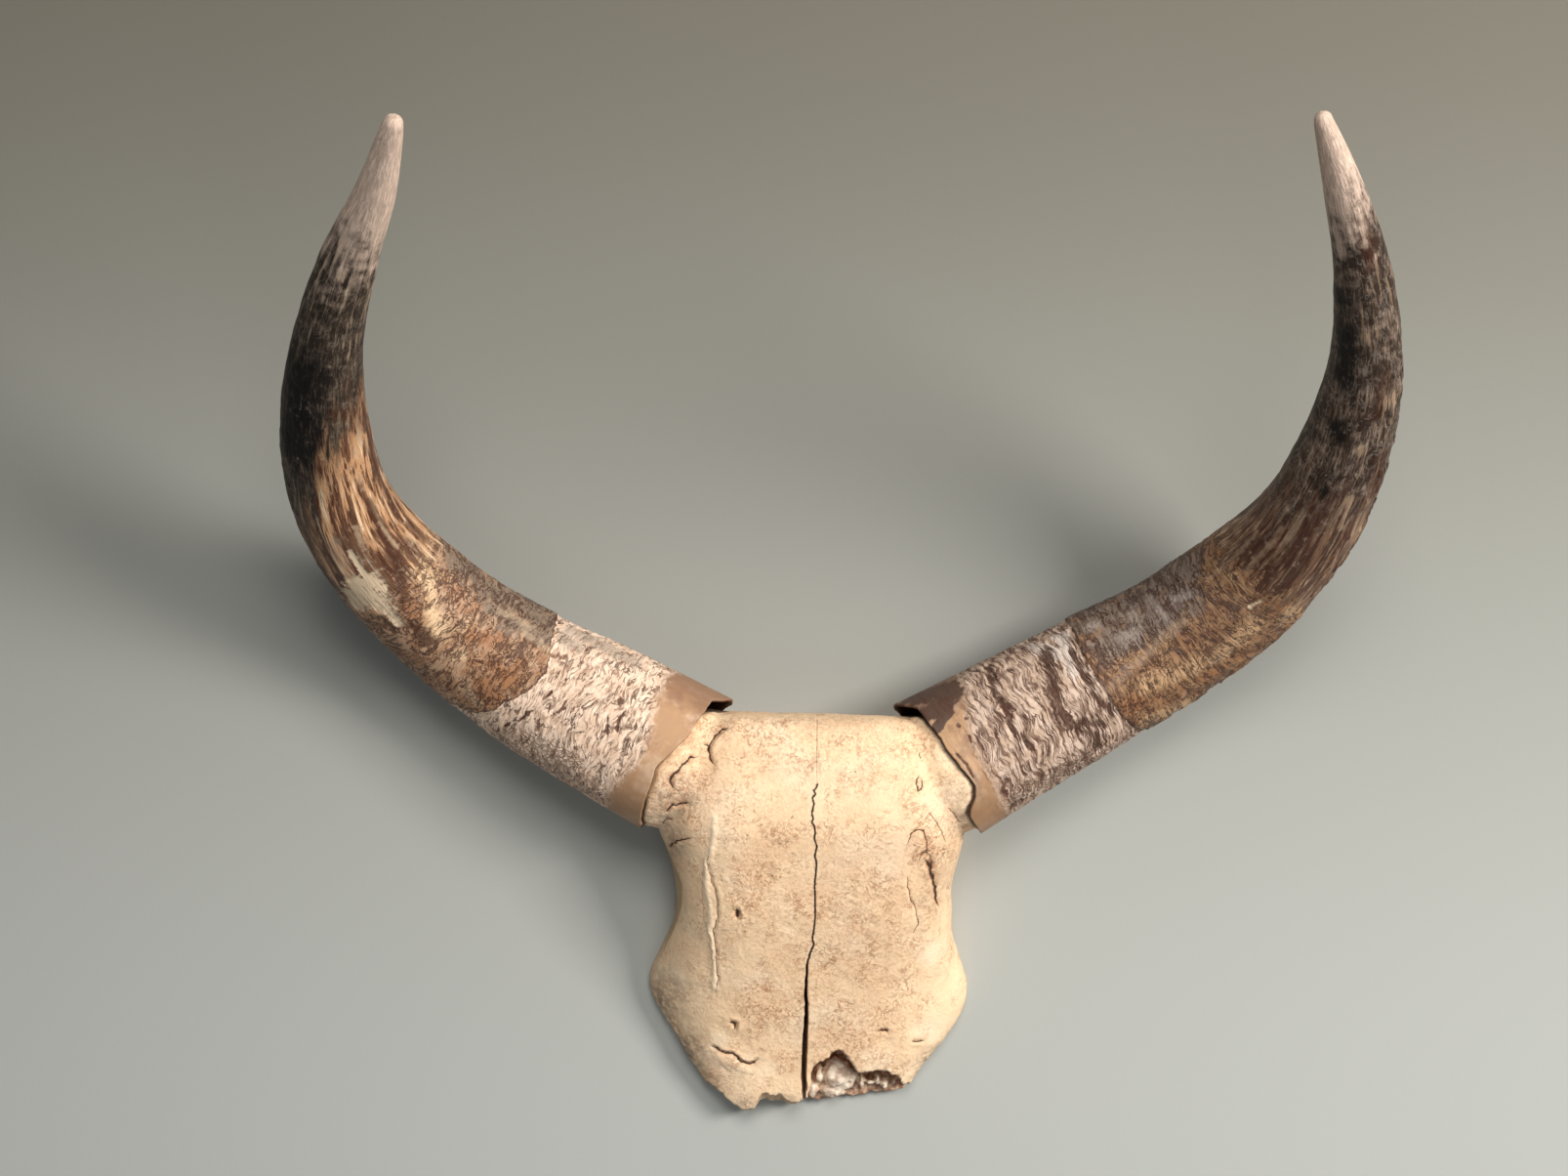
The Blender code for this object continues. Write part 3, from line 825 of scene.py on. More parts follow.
# %% Rims
RIM_EDGE = {  # how far each rim lies from the square cut, at angles from the lower side round the front and back
    "left": ((-180, 3), (-130, 4), (-90, -1), (-70, -2), (-38, 2), (-26, 2), (-10, 5), (6, 0), (22, -5), (42, -5),
             (56, -6), (64, -6), (72, -12), (84, -16), (110, -16), (140, -6), (180, 3)),
    "right": ((-180, 2), (-130, 3), (-90, 1), (-70, -1), (-44, -5), (-36, -2), (-28, 5), (-20, 8), (-8, 6), (6, 3),
              (14, 2), (28, 2), (44, 0), (60, 0), (68, -4), (80, -9), (110, -10), (140, -3), (180, 2)),
}
RIM_THICKNESS = 1.9
RIM_WALL = 4.5
DEEP_WALL = 18
CORE_SHARE = 0.6
WALL_RUN = 16  # over which the torn edge thickens to the full wall
BONE_AIR = 1.1
NEAR_HORN = 90  # from the horn's line; bone further off is left alone


def rim_at(side, angle):
    """How far the torn rim lies along the horn at an angle, with a ragged edge."""
    ring = np.stack([np.cos(angle), np.sin(angle), np.full(len(angle), float(side == "left"))], 1)
    return around(RIM_EDGE[side], angle) + 0.8 * grain(ring, 0.12, 21, 4)


def wall_at(line, run):
    """The sheath's thickness."""
    full = RIM_WALL + (DEEP_WALL - RIM_WALL) * (np.maximum(run, 0) / (CORE_SHARE * line.length)) ** 2
    return RIM_THICKNESS + (full - RIM_THICKNESS) * rise(run, -8, WALL_RUN)


def tuck_in(mesh):
    """Draws the bone under each rim into the sheath's hollow."""
    points = (corners(mesh) - np.array(ORIGIN)) / MM
    for side, line in horn_lines.items():
        run, angle, radius = line.seen_from_rim(points)
        spread = points - line.middle[0]
        ray = spread - run[:, None] * line.along[0]
        room = line.read(line.radius, run) - wall_at(line, run) - BONE_AIR
        under = rise(run - rim_at(side, angle), -2.6, -0.4) * (radius < NEAR_HORN)
        share = np.where(radius > room, room / radius, 1.0)
        points += ray * ((share - 1) * under)[:, None]
    move_corners(mesh, points * MM + np.array(ORIGIN))


tuck_in(skull.data)
print("rims: the left reaches", -min(s for _, s in RIM_EDGE["left"]), "mm past the square cut at its top")

# %% [markdown]
# ## The open suture
# The two frontal bones never fused completely. Their seam is a hairline at the poll, wavers down the forehead and
# gapes at the nose end. One wavy blade on each side parts the skull into two pieces, so the gap is real. Close to
# the saw cut it narrows to a hairline everywhere, and so it looks dark from the front.

# %% Part the frontals
SEAM = (  # x and y of the seam's middle
    (0, 20), (0.5, -30), (1.2, -47.8), (-0.8, -51.4), (0.5, -54.1), (-1.9, -56.7), (-0.6, -60.9), (-1.6, -67.3),
    (-0.7, -71.5), (-1.6, -74.7), (-0.1, -76.8), (1.3, -82.2), (0.6, -86.5), (2.5, -91.9), (1.5, -99.6),
    (2.9, -106.1), (2.5, -117.2), (2.3, -130.6), (3.2, -139.5), (2.8, -153.1), (1.8, -162.3), (2.8, -166.9),
    (1.5, -171.5), (0.1, -176.2), (-1, -182), (-1.5, -192.5), (-1.4, -208.9), (-0.6, -220.7), (-0.7, -232.5),
    (-0.9, -246.8), (-1, -263.4), (-0.9, -279.8), (-0.2, -289.1), (0, -330),
)
SEAM_WIDTH = (  # y and width
    (-330, 4.2), (-289, 4.2), (-250, 4.4), (-225, 3.4), (-200, 2.3), (-180, 1.4), (-160, 0.8), (-56, 0.7),
    (-48, 0.3), (-44, 0.05), (20, 0.04),
)
SEAM_STEPS = 4
SEAM_FLOOR = 9  # below this height the gap is nearly closed, so that no floor shows through
SEAM_OPENING = 6  # over this height it opens to its full width
SEAM_CLOSED = 0.12  # what is left of the width below


def seam_line():
    """Places along the seam with its half width there."""
    line = smooth_line(SEAM, SEAM_STEPS)
    ragged = 0.6 * grain(np.stack([line[:, 1], 0 * line[:, 0], 0 * line[:, 0]], 1), 2.6, 31, 3)
    ys, widths = zip(*SEAM_WIDTH)
    return line[:, 0] + ragged * rise(-line[:, 1], 40, 50), line[:, 1], np.interp(line[:, 1], ys, widths) / 2


def beside_seam(name, side):
    """All that lies left (-1) or right (1) of the seam, with half of its width, which is less deep down."""
    far, rings, open_from = side * FAR, [], SEAM_FLOOR + SEAM_OPENING
    for z, share in ((-FAR, SEAM_CLOSED), (SEAM_FLOOR, SEAM_CLOSED), (open_from, 1.0), (FAR, 1.0)):
        edge = [(x - side * half * share, y) for x, y, half in zip(*seam_line())]
        rings.append([place(x, y, z) for x, y in [*edge, (far, edge[-1][1]), (far, edge[0][1])]])
    return skin_over(name, rings)


frontals = {}
for side_name, other in (("left", 1), ("right", -1)):
    half = bpy.data.objects.new("frontal_bone_" + side_name, skull.data.copy())
    bpy.context.scene.collection.objects.link(half)
    combine(half, "DIFFERENCE", [beside_seam("blade", other)])
    frontals[side_name] = half
bpy.data.objects.remove(skull)
for side_name, bone in frontals.items():
    print(side_name, "frontal:", len(bone.data.loops) - 2 * len(bone.data.polygons), "triangles")

# %% [markdown]
# ## The parietal
# Behind the poll a third bone closes the skull. It is a plain wedge that the photo never shows, so it gets the
# same treatment as the rest: a voxel skin, softened edges and a little unevenness.

# %% Parietal
PARIETAL_HALF = 64
PARIETAL_FRONT = -24
PARIETAL_TOP = 56
PARIETAL_VOXEL = 1.5
PARIETAL_SWELL = 0.35

parietal = skin_over("parietal_bone", [section(*row) for row in smooth_line(FOREHEAD, ROWS_BETWEEN)])
limits = [
    (-PARIETAL_HALF, PARIETAL_FRONT), (PARIETAL_HALF, PARIETAL_FRONT), (PARIETAL_HALF, FAR), (-PARIETAL_HALF, FAR),
]
combine(parietal, "INTERSECT", [prism("limits", limits, 0, PARIETAL_TOP)])
reskin(parietal, PARIETAL_VOXEL, 1)
parietal_points = corners(parietal.data)
parietal_swell = PARIETAL_SWELL * (grain(parietal_points, 0.02, 41) - 0.6)
parietal_swell *= rise(parietal_points[:, 2], 0.0005, 0.006)
parietal_points += facing(parietal.data) * parietal_swell[:, None] * MM
move_corners(parietal.data, parietal_points)
print("parietal:", len(parietal.data.polygons), "faces")

# %% [markdown]
# ## Notes for the bone's finish
# A finish can't know where a groove is, so each vertex is told: how far it is from the nearest line, how near the
# horns and the seam, whether it belongs to the sawn back or a broken edge, and how stained its region is.

# %% Notes on the bone
STAINS = (  # x, y, half width, half height, strength
    (-110, -222, 20, 30, 0.9), (-92, -258, 20, 16, 1.0), (90, -118, 12, 26, 0.5), (-104, -62, 12, 22, 0.5),
    (104, -66, 9, 24, 0.4), (-46, -300, 14, 7, 0.9), (-12, -293, 8, 5, 0.7), (0, -2, 50, 5, 0.4),
    (-100, -100, 8, 12, 0.6),
)
# The last spot, across the poll, is also painted shade: it darkens the poll, which faces the lamps.
PINK = (  # where the mottling is densest
    (-36, -120, 38, 56, 0.8), (-22, -210, 30, 56, 0.7), (34, -150, 44, 70, 0.9), (84, -90, 22, 36, 1.0),
    (-90, -60, 24, 40, 0.9), (28, -235, 36, 34, 1.0), (-60, -275, 30, 22, 0.5), (0, -18, 95, 26, 0.7),
)
TEMPLE = ((-102.7, -111.9), (-98.3, -119.7), (-95, -128), (-95.4, -144.7), (-99.3, -159.6), (-104.5, -172.3))
SEAM_FROM = -46  # the seam is open from here to the nose
# Below these heights the chamber keeps its darker colour, which is partly painted shade deep in it.
PLATE_LEVEL = (9, 13)  # the heights between which the thin walls of the chamber turn pale


def region(x, y, spots):
    """How strongly each place lies in one of the spots."""
    found = np.zeros(len(x))
    for sx, sy, width, height, strength in spots:
        found = np.maximum(found, strength * np.exp(-(((x - sx) / width) ** 2) - ((y - sy) / height) ** 2))
    return found


def note_bone(mesh):
    """Tells each vertex of a bone what its finish has to know."""
    metres = corners(mesh)
    points, out = (metres - np.array(ORIGIN)) / MM, facing(mesh)
    x, y, z = points.T
    _, line, near, wide = fissured(points)
    up = rise(out[:, 2], -0.3, 0.1)
    seam_x, seam_y, _ = seam_line()
    seam_off, _, _ = way_off(x, y, list(zip(seam_x, seam_y))[::2])
    wall = 1 - rise(np.abs(out[:, 2]), 0.35, 0.8)
    inside = inside_nose(points)
    on_plate = rise(z + 3 * grain(metres, 0.004, 8), *PLATE_LEVEL)
    # Under each rim the bone is painted dark, painted shade cast by the rim; on the left rim's flush front it gets
    # the orange-brown edge instead.
    rim_shade, crest = np.zeros(len(x)), np.zeros(len(x))
    for side, horn in horn_lines.items():
        run, angle, _ = horn.seen_from_rim(points)
        at_rim = rise(run - rim_at(side, angle), -3.2, -0.6)
        flush = rise(np.degrees(angle), -42, -30) * (1 - rise(np.degrees(angle), 56, 66)) * (side == "left")
        rim_shade = np.maximum(rim_shade, at_rim * (1 - flush))
        crest = np.maximum(crest, rise(run - rim_at(side, angle), -7, -1) * flush)
    temple_off, temple_side, _ = way_off(x, y, TEMPLE)
    temple = hill(temple_off * (temple_side < 0), 0, 16) * (temple_side < 0) * rise(-x, 88, 96)
    note(mesh, "line", line)
    note(mesh, "near", near * up)
    note(mesh, "wide", wide)
    note(mesh, "seam", np.where(y < SEAM_FROM, seam_off, NO_LINE))
    note(mesh, "seam_wall", hill(seam_off, 0, 2.5) * wall * (y < -40))
    note(mesh, "rim_shade", rim_shade)
    note(mesh, "crest", crest)
    note(mesh, "ridge", hill(way_off(x, y, SWELLS[0][2:])[0], 0, 2.2) * up)
    note(mesh, "growth", horn_zone(points))
    note(mesh, "stain", region(x, y, STAINS) * up)
    note(mesh, "pink", region(x, y, PINK))
    note(mesh, "temple", temple * up)
    note(mesh, "back", rise(-out[:, 2], 0.2, 0.7))
    note(mesh, "broken", rise(-out[:, 1], 0.3, 0.8) * rise(-y, 240, 262) * (1 - inside))
    note(mesh, "chamber", inside * (1 - on_plate))
    note(mesh, "plate", inside * on_plate)


for bone in (*frontals.values(), parietal):
    note_bone(bone.data)
print("notes:", ", ".join(a.name for a in parietal.data.attributes if a.name not in ("position", ".edge_verts")))

# %% [markdown]
# ## The finish of bone
# Dry old bone is warm cream, covered in small worm-like flecks of pinkish brown that crowd in some regions. The
# lines of growth are dark hairlines, their own tint with painted shade in the cracks, and the holes and wide
# cracks are painted near black as shade. Stains grey the brow's side, painted shade darkens the seam's gap and the
# bone under the rims, and the sawn back is darker and coarser. It has no gloss.

# %% Bone
CREAM = (0.95, 0.70, 0.445)
PALE = (0.96, 0.76, 0.53)
PINKISH = (0.80, 0.49, 0.28)
FLECK = (0.48, 0.20, 0.09)
GREY_BROWN = (0.22, 0.155, 0.11)
PLATE_WHITE = (0.78, 0.66, 0.53)
CREST = (0.52, 0.28, 0.13)
CELL_TAN = (0.55, 0.38, 0.26)
# Painted shade, near black: in the seam's gap, in holes and wide cracks, and on the bone under the rims.
DEEP_SHADE = (0.050, 0.026, 0.016)
OLD_YELLOW = (0.42, 0.29, 0.15)
RED_BROWN = (0.26, 0.11, 0.06)
OLD_BONE = (0.62, 0.47, 0.32)


def bone_finish(name, ground):
    """Bone over that ground colour: mottling, then the stains, the lines, and on top painted shade in the seam,
    the holes and under the rims.
    """
    bone = Finish(name)
    here = bone.here()
    pink = bone.attribute("pink")
    growth = bone.attribute("growth")
    clouds = bone.between(bone.noise(here, 0.030, 4, 0.6), 0.38, 0.62)
    crowded = bone.between(bone.noise(here, 0.018, 3), 0.4, 0.65)
    density = bone.math("ADD", bone.times(pink, 0.55), bone.times(crowded, 0.6))
    worms = bone.lines(here, 0.0075, 0.045, 5, 1.5)
    crumbs = bone.between(bone.noise(here, 0.0030, 5, 0.68, 0.8), 0.52, 0.62)
    specks = bone.between(bone.noise(here, 0.0024, 2, 0.5), 0.72, 0.78)
    colour = bone.mix(bone.between(bone.noise(here, 0.055, 2), 0.45, 0.7), ground, PALE)
    tint = bone.math("ADD", bone.times(pink, 0.6), bone.times(clouds, 0.5), clamp=True)
    colour = bone.mix(bone.times(tint, 0.60), colour, PINKISH)
    colour = bone.mix(bone.times(worms, density, 0.72), colour, FLECK)
    colour = bone.mix(bone.times(crumbs, bone.math("ADD", density, 0.10), 0.40), colour, FLECK)
    colour = bone.mix(bone.times(specks, 0.4), colour, FLECK)
    colour = bone.mix(bone.times(growth, crumbs, 0.35), colour, FLECK)
    colour = bone.mix(bone.times(bone.attribute("ridge"), 0.75), colour, PALE)
    colour = bone.mix(bone.times(bone.attribute("temple"), 0.75), colour, OLD_YELLOW)
    blotch = bone.between(bone.noise(here, 0.007, 4, 0.65), 0.35, 0.6)
    stained = bone.times(bone.attribute("stain"), bone.math("ADD", blotch, 0.35), 0.62)
    colour = bone.mix(stained, colour, GREY_BROWN)
    colour = bone.mix(bone.times(bone.attribute("back"), 0.45), colour, PINKISH)
    broken = bone.times(bone.attribute("broken"), bone.math("ADD", blotch, 0.3, clamp=True), 0.8)
    colour = bone.mix(broken, colour, GREY_BROWN)
    # Inside the chamber the bone is red-brown and tan, its own tint with painted shade of the deep chamber.
    cavity = bone.mix(bone.between(bone.noise(here, 0.003, 4, 0.65), 0.42, 0.62), RED_BROWN, CELL_TAN)
    colour = bone.mix(bone.times(bone.attribute("chamber"), 0.95), colour, cavity)
    plate = bone.mix(bone.times(bone.less(blotch), 0.55), PLATE_WHITE, RED_BROWN)
    colour = bone.mix(bone.times(bone.attribute("plate"), 0.9), colour, plate)
    crest = bone.times(bone.attribute("crest"), bone.math("ADD", blotch, 0.25, clamp=True), 0.7)
    colour = bone.mix(crest, colour, CREST)
    # The lines are inked red-brown, their own tint with painted shade in the cracks; the wide cracks and holes are
    # painted near black as shade, with a halo of flecks beside them that is staining with painted soft shade.
    waver = bone.times(bone.math("SUBTRACT", bone.noise(here, 0.0016, 3), 0.5), 1.6)
    off = bone.math("ABSOLUTE", bone.math("ADD", bone.attribute("line"), waver))
    wide = bone.attribute("wide")
    thin = bone.times(wide, bone.math("ADD", bone.noise(here, 0.0035, 3), 0.18))
    ink = bone.less(bone.between(bone.math("DIVIDE", off, bone.math("ADD", thin, 0.02)), 0.45, 1.25))
    ink = bone.times(ink, bone.between(bone.attribute("near"), 0.35, 0.75), bone.between(wide, 0.08, 0.3))
    halo = bone.times(bone.attribute("near"), bone.between(wide, 0.4, 1.0), blotch, 0.6)
    colour = bone.mix(halo, colour, FLECK)
    colour = bone.mix(bone.times(ink, 0.8), colour, RED_BROWN)
    colour = bone.mix(bone.times(ink, bone.between(wide, 0.3, 0.9), 0.93), colour, DEEP_SHADE)
    # The seam's walls are painted red-brown, their tint with painted shade in the narrow gap, and its middle near
    # black, painted shade deep in the gap.
    colour = bone.mix(bone.times(bone.attribute("seam_wall"), 0.9), colour, RED_BROWN)
    seam_ink = bone.less(bone.between(bone.math("ADD", bone.attribute("seam"), waver), 0.3, 1.1))
    colour = bone.mix(bone.times(seam_ink, 0.92), colour, DEEP_SHADE)
    # Painted shade on the bone under the rims.
    colour = bone.mix(bone.times(bone.attribute("rim_shade"), 0.9), colour, DEEP_SHADE)
    height = bone.times(bone.noise(here, 0.0024, 5, 0.62), 0.9)
    height = bone.math("SUBTRACT", height, bone.times(crumbs, density, 0.5))
    relief = bone.bump(bone.math("SUBTRACT", height, bone.times(ink, 0.9)), 0.0007)
    bone.set(bone.shader, {
        "Base Color": colour, "Roughness": 0.72, "Specular IOR Level": 0.3, "Normal": relief,
    })
    return bone.material


bone_material = bone_finish("bone", CREAM)
old_bone_material = bone_finish("old_bone", OLD_BONE)
for side_name, bone in frontals.items():
    bone.data.materials.clear()
    bone.data.materials.append(bone_material)
    bone.data.shade_smooth()
    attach(bone, "root")
    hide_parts("frontal_" + side_name)
parietal.data.materials.clear()
parietal.data.materials.append(old_bone_material)
parietal.data.shade_smooth()
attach(parietal, "root")
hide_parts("parietal")
print("bone finishes:", bone_material.name, old_bone_material.name)

# %% [markdown]
# ## The horn sheaths
# A sheath is one skin: it starts deep inside the hollow, comes out over the torn rim and runs on to the worn tip.
# A flat grid has just those two directions, along and around, so it is rolled up over the horn's line. Each corner
# keeps its distance from the rim and its angle, and all relief and colour are written in those two numbers.

# %% Sheath skin
SIDES = 168
ROW_STEPS = ((0, 0.9), (175, 0.92), (420, 1.5), (1000, 2.3))  # up to each distance, the spacing of the rows
INSIDE_ROWS = 24
RIM_ROWS = 4
TIP_ROWS = 8
END_ROWS = 4  # of the round end of the hollow
END_REACH = 10
LAST_STEP = 1.5


def outside_runs(end):
    """Distances from the rim, close together near it and wider apart toward the tip."""
    runs = [0.0]
    while runs[-1] < end - LAST_STEP:
        step = next(width for limit, width in ROW_STEPS if runs[-1] <= limit)
        runs.append(runs[-1] + step)
    return [*runs[:-1], end]


def sheath_rows(line):
    """For each row: its distance from the rim, its share of the wall's depth, and its share of the width."""
    end = CORE_SHARE * line.length
    shares = [1 - k / END_ROWS for k in range(END_ROWS)]
    rows = [(end + END_REACH * share, 1, math.sqrt(1 - share**2)) for share in shares]
    rows += [(run, 1, 1) for run in end * (1 - np.linspace(0, 1, INSIDE_ROWS)) ** 1.5]
    rows += [(0, 1 - (k + 1) / (RIM_ROWS + 1), 1) for k in range(RIM_ROWS)]
    tip = line.radius[-1]
    rows += [(run, 0, 1) for run in outside_runs(line.length - tip)]
    for k in range(TIP_ROWS):
        turn = math.pi / 2 * (k + 1) / TIP_ROWS
        rows.append((line.length - tip + tip * math.sin(turn), 0, max(math.cos(turn), 0.0)))
    return np.array(rows)


def rolled_grid(name, rows):
    """A flat grid with one row of corners for each row of the sheath; the last column meets the first."""
    bm = bmesh.new()
    bmesh.ops.create_grid(bm, x_segments=SIDES, y_segments=len(rows) - 1, size=0.5)
    mesh = bpy.data.meshes.new(name)
    bm.to_mesh(mesh)
    bm.free()
    flat = corners(mesh)
    column = np.rint((flat[:, 0] + 0.5) * SIDES).astype(int)
    row = np.rint((flat[:, 1] + 0.5) * (len(rows) - 1)).astype(int)
    return mesh, column, row


print("sheath grid:", SIDES, "around")

# %% [markdown]
# ## Zones and patches of a sheath
# Along the horn the surface changes with its age and wear. At the rim lies a smooth amber band, then a zone where
# the outer layer has flaked away and crosswise fibres show. Past a torn step the outer layer begins, with burl,
# lengthwise streaks, a near black stretch and a pale tip. Over these lie patches: holes, bands, bare spots and
# stains. Each patch is a few strokes of a brush, given by its half width and the places it passes through.

# %% Zone edges and patches
STEP_EDGE = {  # angle and distance from the rim where the outer layer begins
    "left": ((-180, 170), (-110, 172), (-82, 164), (-70, 159), (-58, 146), (-36, 132), (-24, 128), (-6, 114),
             (6, 110), (16, 108), (24, 111), (42, 122), (74, 132), (120, 140), (180, 170)),
    "right": ((-180, 150), (-80, 146), (-58, 138), (-34, 131), (-18, 129), (0, 128), (24, 126), (48, 131),
              (94, 135), (130, 145), (180, 150)),
}
AMBER_EDGE = {
    "left": ((-180, 20), (-62, 29), (-36, 27), (-10, 18), (14, 21), (40, 30), (66, 32), (120, 26), (180, 20)),
    "right": ((-180, 20), (-58, 23), (-22, 21), (-4, 21), (8, 20), (29, 27), (40, 32), (62, 38), (90, 40),
              (140, 30), (180, 20)),
}
STREAK_START = {"left": 268, "right": 296}
DARK_START = {"left": 384, "right": 372}
TIP_START = {"left": 592, "right": 632}
PATCHES = {  # half width in millimetres, then places as distance from the rim and angle
    "left": {
        "holes": (
            (3.0, (50, 22)), (1.3, (44, 16), (45, 10), (42, 2)), (1.0, (53, 8), (47, -4)),
            (0.9, (99, -4), (96, 4)), (0.9, (89, -14), (81, -2)), (0.8, (84, -8), (83, 4)),
            (1.2, (110, -32), (105, -22)), (1.0, (108, -22), (102, -16)), (1.0, (119, -46), (113, -32)),
            (1.0, (114, 56)), (0.9, (108, 54)), (0.9, (92, 54)), (0.9, (110, 74)),
        ),
        "comb": ((15, (42, -60), (75, -64), (110, -66)), (7, (60, -40), (100, -44))),
        "bands": ((3, (66, 72)), (2, (112, 30), (100, 34))),
        "grey": ((7, (60, 62), (112, 66)), (5, (100, 48), (116, 52))),
        "upper": ((13, (136, 58), (160, 62), (200, 60), (240, 64)), (12, (140, 84), (180, 84)),
                  (6, (126, 40), (190, 40))),
        "cream": ((2.6, (177, 42), (159, 44), (138, 42)), (2.4, (146, 36), (117, 33)),
                  (1.6, (250, 44), (300, 42)), (1.6, (339, -8), (317, -10)), (1.2, (330, 20), (300, 22))),
        "golden": ((9, (214, -6), (240, 4)), (7, (183, -16)), (8, (252, 20), (288, 20)), (6, (196, 10))),
        "orange": ((9, (137, -20), (152, -20), (128, 2)), (7, (156, 12), (190, 8)), (8, (236, -16), (262, 2))),
        "red": ((4.5, (294, 14), (276, 4), (258, -10)), (6, (236, -22), (213, -22)), (4, (252, -42), (240, -38)),
                (0.8, (204, 22), (206, 0), (207, -38)), (3, (300, -50), (286, -64))),
        "peel": ((8.5, (264, -31), (290, -36)), (8, (274, -48), (284, -44)), (5, (280, -20), (292, -24)),
                 (3.5, (240, -31), (262, -31)), (3, (294, -26), (318, -26)), (7, (270, -58), (280, -60))),
        "spots": ((4, (300, -40), (330, -36)), (3, (150, 30), (170, 28))),
        "black": ((19, (410, -66), (478, -66)), (2.5, (536, -100)), (3, (375, -16)), (7, (400, -34), (430, -34))),
        "brown": ((5, (447, -6), (422, 64)), (6, (400, 20), (440, 24)), (4, (645, -52))),
        "pale": ((5, (600, -70)), (4, (575, -40))),
    },
    "right": {
        "holes": (
            (1.8, (25, 29)), (1.5, (18, 26)), (0.9, (21, 16), (20, 10)), (1.4, (55, 30)),
            (1.2, (52, 24), (55, 12)), (1.0, (6, 8), (9, -2), (9, -14)), (1.0, (40, 12), (38, 4)),
        ),
        "comb": ((12, (58, -52), (100, -62)), (9, (26, -54), (40, -48))),
        "bands": (
            (3.2, (63, 70), (53, 36), (54, 20), (51, 4), (57, -16)), (3.5, (71, 52)),
            (5.5, (102, 50), (92, 22), (86, 2), (89, -18), (101, -36), (104, -50)), (5.0, (98, -22), (112, -30)),
            (4.0, (120, 36), (117, 20), (116, -2), (125, -26)), (4.5, (113, -34)),
        ),
        "film": ((13, (5, 76), (22, 68)), (10, (8, 48), (27, 57)), (5, (3, 32), (16, 40))),
        "grey": ((5, (122, 56), (111, 22)), (4, (117, 62)), (5, (96, 64), (108, 40))),
        "upper": ((17, (148, 58), (250, 56)), (14, (146, 26), (240, 30)), (10, (140, 84), (240, 84))),
        "cream": ((3.2, (131, -6), (156, 0), (192, 8), (222, 12)), (1.6, (279, -16), (290, -20)),
                  (1.6, (262, 30), (330, 34)), (1.6, (300, 12), (350, 14))),
        "golden": ((7, (159, -18), (224, -34), (269, -34)), (8, (150, -60), (183, -72)), (5, (288, 18)),
                   (5, (237, 26)), (7, (280, -60), (360, -66))),
        "orange": ((6, (141, -29), (159, -38)), (5, (200, -50), (240, -56))),
        "red": ((1.2, (197, -2), (205, -14)), (1.4, (233, -20), (227, -8)), (1.4, (231, -48), (240, -40)),
                (5, (311, 86), (330, 80)), (4, (263, 4), (270, -10)), (5, (330, -14), (352, -6))),
        "peel": ((1.2, (279, -16), (290, -20)),),
        "spots": ((4.0, (147, 50)), (4.5, (180, 42)), (3.6, (177, 26), (160, 27)), (3.0, (206, 46), (209, 24)),
                  (3.0, (225, 34), (240, 30))),
        "black": ((8, (452, 2)), (9, (572, 28)), (9, (500, 10), (540, 14)), (7, (610, 16), (640, 10)),
                  (6, (396, -10))),
        "brown": ((6, (399, -76), (430, -70)), (5, (470, -50), (500, -60)), (5, (600, -60), (640, -60))),
        "pale": ((5, (540, -28)), (5, (479, -76)), (4, (440, -36)), (3, (372, -48), (396, -44))),
    },
}
print("patches:", {side: sum(len(strokes) for strokes in marks.values()) for side, marks in PATCHES.items()})

# %% [markdown]
# ## Relief and notes of a sheath
# One function walks over the skin once. It works out the zones, lifts the outer layer at its torn step, draws the
# fibres crosswise, the streaks lengthwise, sinks the creases and the peeled patch, and frays the outer bend. Every
# zone and patch is handed to the finish as a soft note, 0.5 on its border, which the finish tears and sharpens.

# %% Sheath relief
CROSSWISE = np.array([0.25, 0.25, 1.0])  # grain read with these shares is drawn out round the horn
LENGTHWISE = np.array([1.0, 1.0, 0.10])  # and with these along it
FLAKING = np.array([1, 1, 0.45])


def painted(line, run, angle, strokes):
    """1 in the middle of the strokes, 0.5 on their border, 0 well outside."""
    radius = line.read(line.radius, run)
    found = np.zeros(len(run))
    for width, *places in strokes:
        path = [(s, math.radians(a) * float(np.interp(s, line.run, line.radius))) for s, a in places]
        if len(path) == 1:
            path.append((path[0][0] + 0.1, path[0][1]))
        off, _, _ = way_off(run, angle * radius, path)
        found = np.maximum(found, 1 - 0.5 * off / width)
    return found


def beyond(run, edge, soft):
    """0.5 at the edge, 1 that far beyond it and 0 that far before it."""
    return np.clip(0.5 + 0.5 * (run - edge) / soft, 0, 1)


def zones_of(side, run, angle):
    """The notes of one sheath by name, at each corner."""
    line = horn_lines[side]
    degrees = np.degrees(angle)
    dark_from, tip_from = DARK_START[side], TIP_START[side]
    if side == "left":
        dark_from = dark_from + 50 * (1 - rise(-degrees, -20, 40)) - 70 * rise(-degrees, 40, 70)
    else:
        outer_side = rise(-degrees, 10, 70)
        dark_from, tip_from = dark_from + 20 * outer_side, tip_from + 18 * outer_side
    zone = {name: painted(line, run, angle, strokes) for name, strokes in PATCHES[side].items()}
    zone["step"] = beyond(run, around(STEP_EDGE[side], angle), 8)
    zone["amber"] = 1 - beyond(run, around(AMBER_EDGE[side], angle), 10)
    zone["streaks"] = beyond(run, STREAK_START[side], 40)
    zone["dark"] = beyond(run, dark_from, 80)
    zone["tip"] = beyond(run, tip_from, 60)
    return zone


def torn(value, ragged, edge=0.08):
    """A note with its border torn and sharpened."""
    return rise(value + ragged, 0.5 - edge, 0.5 + edge)


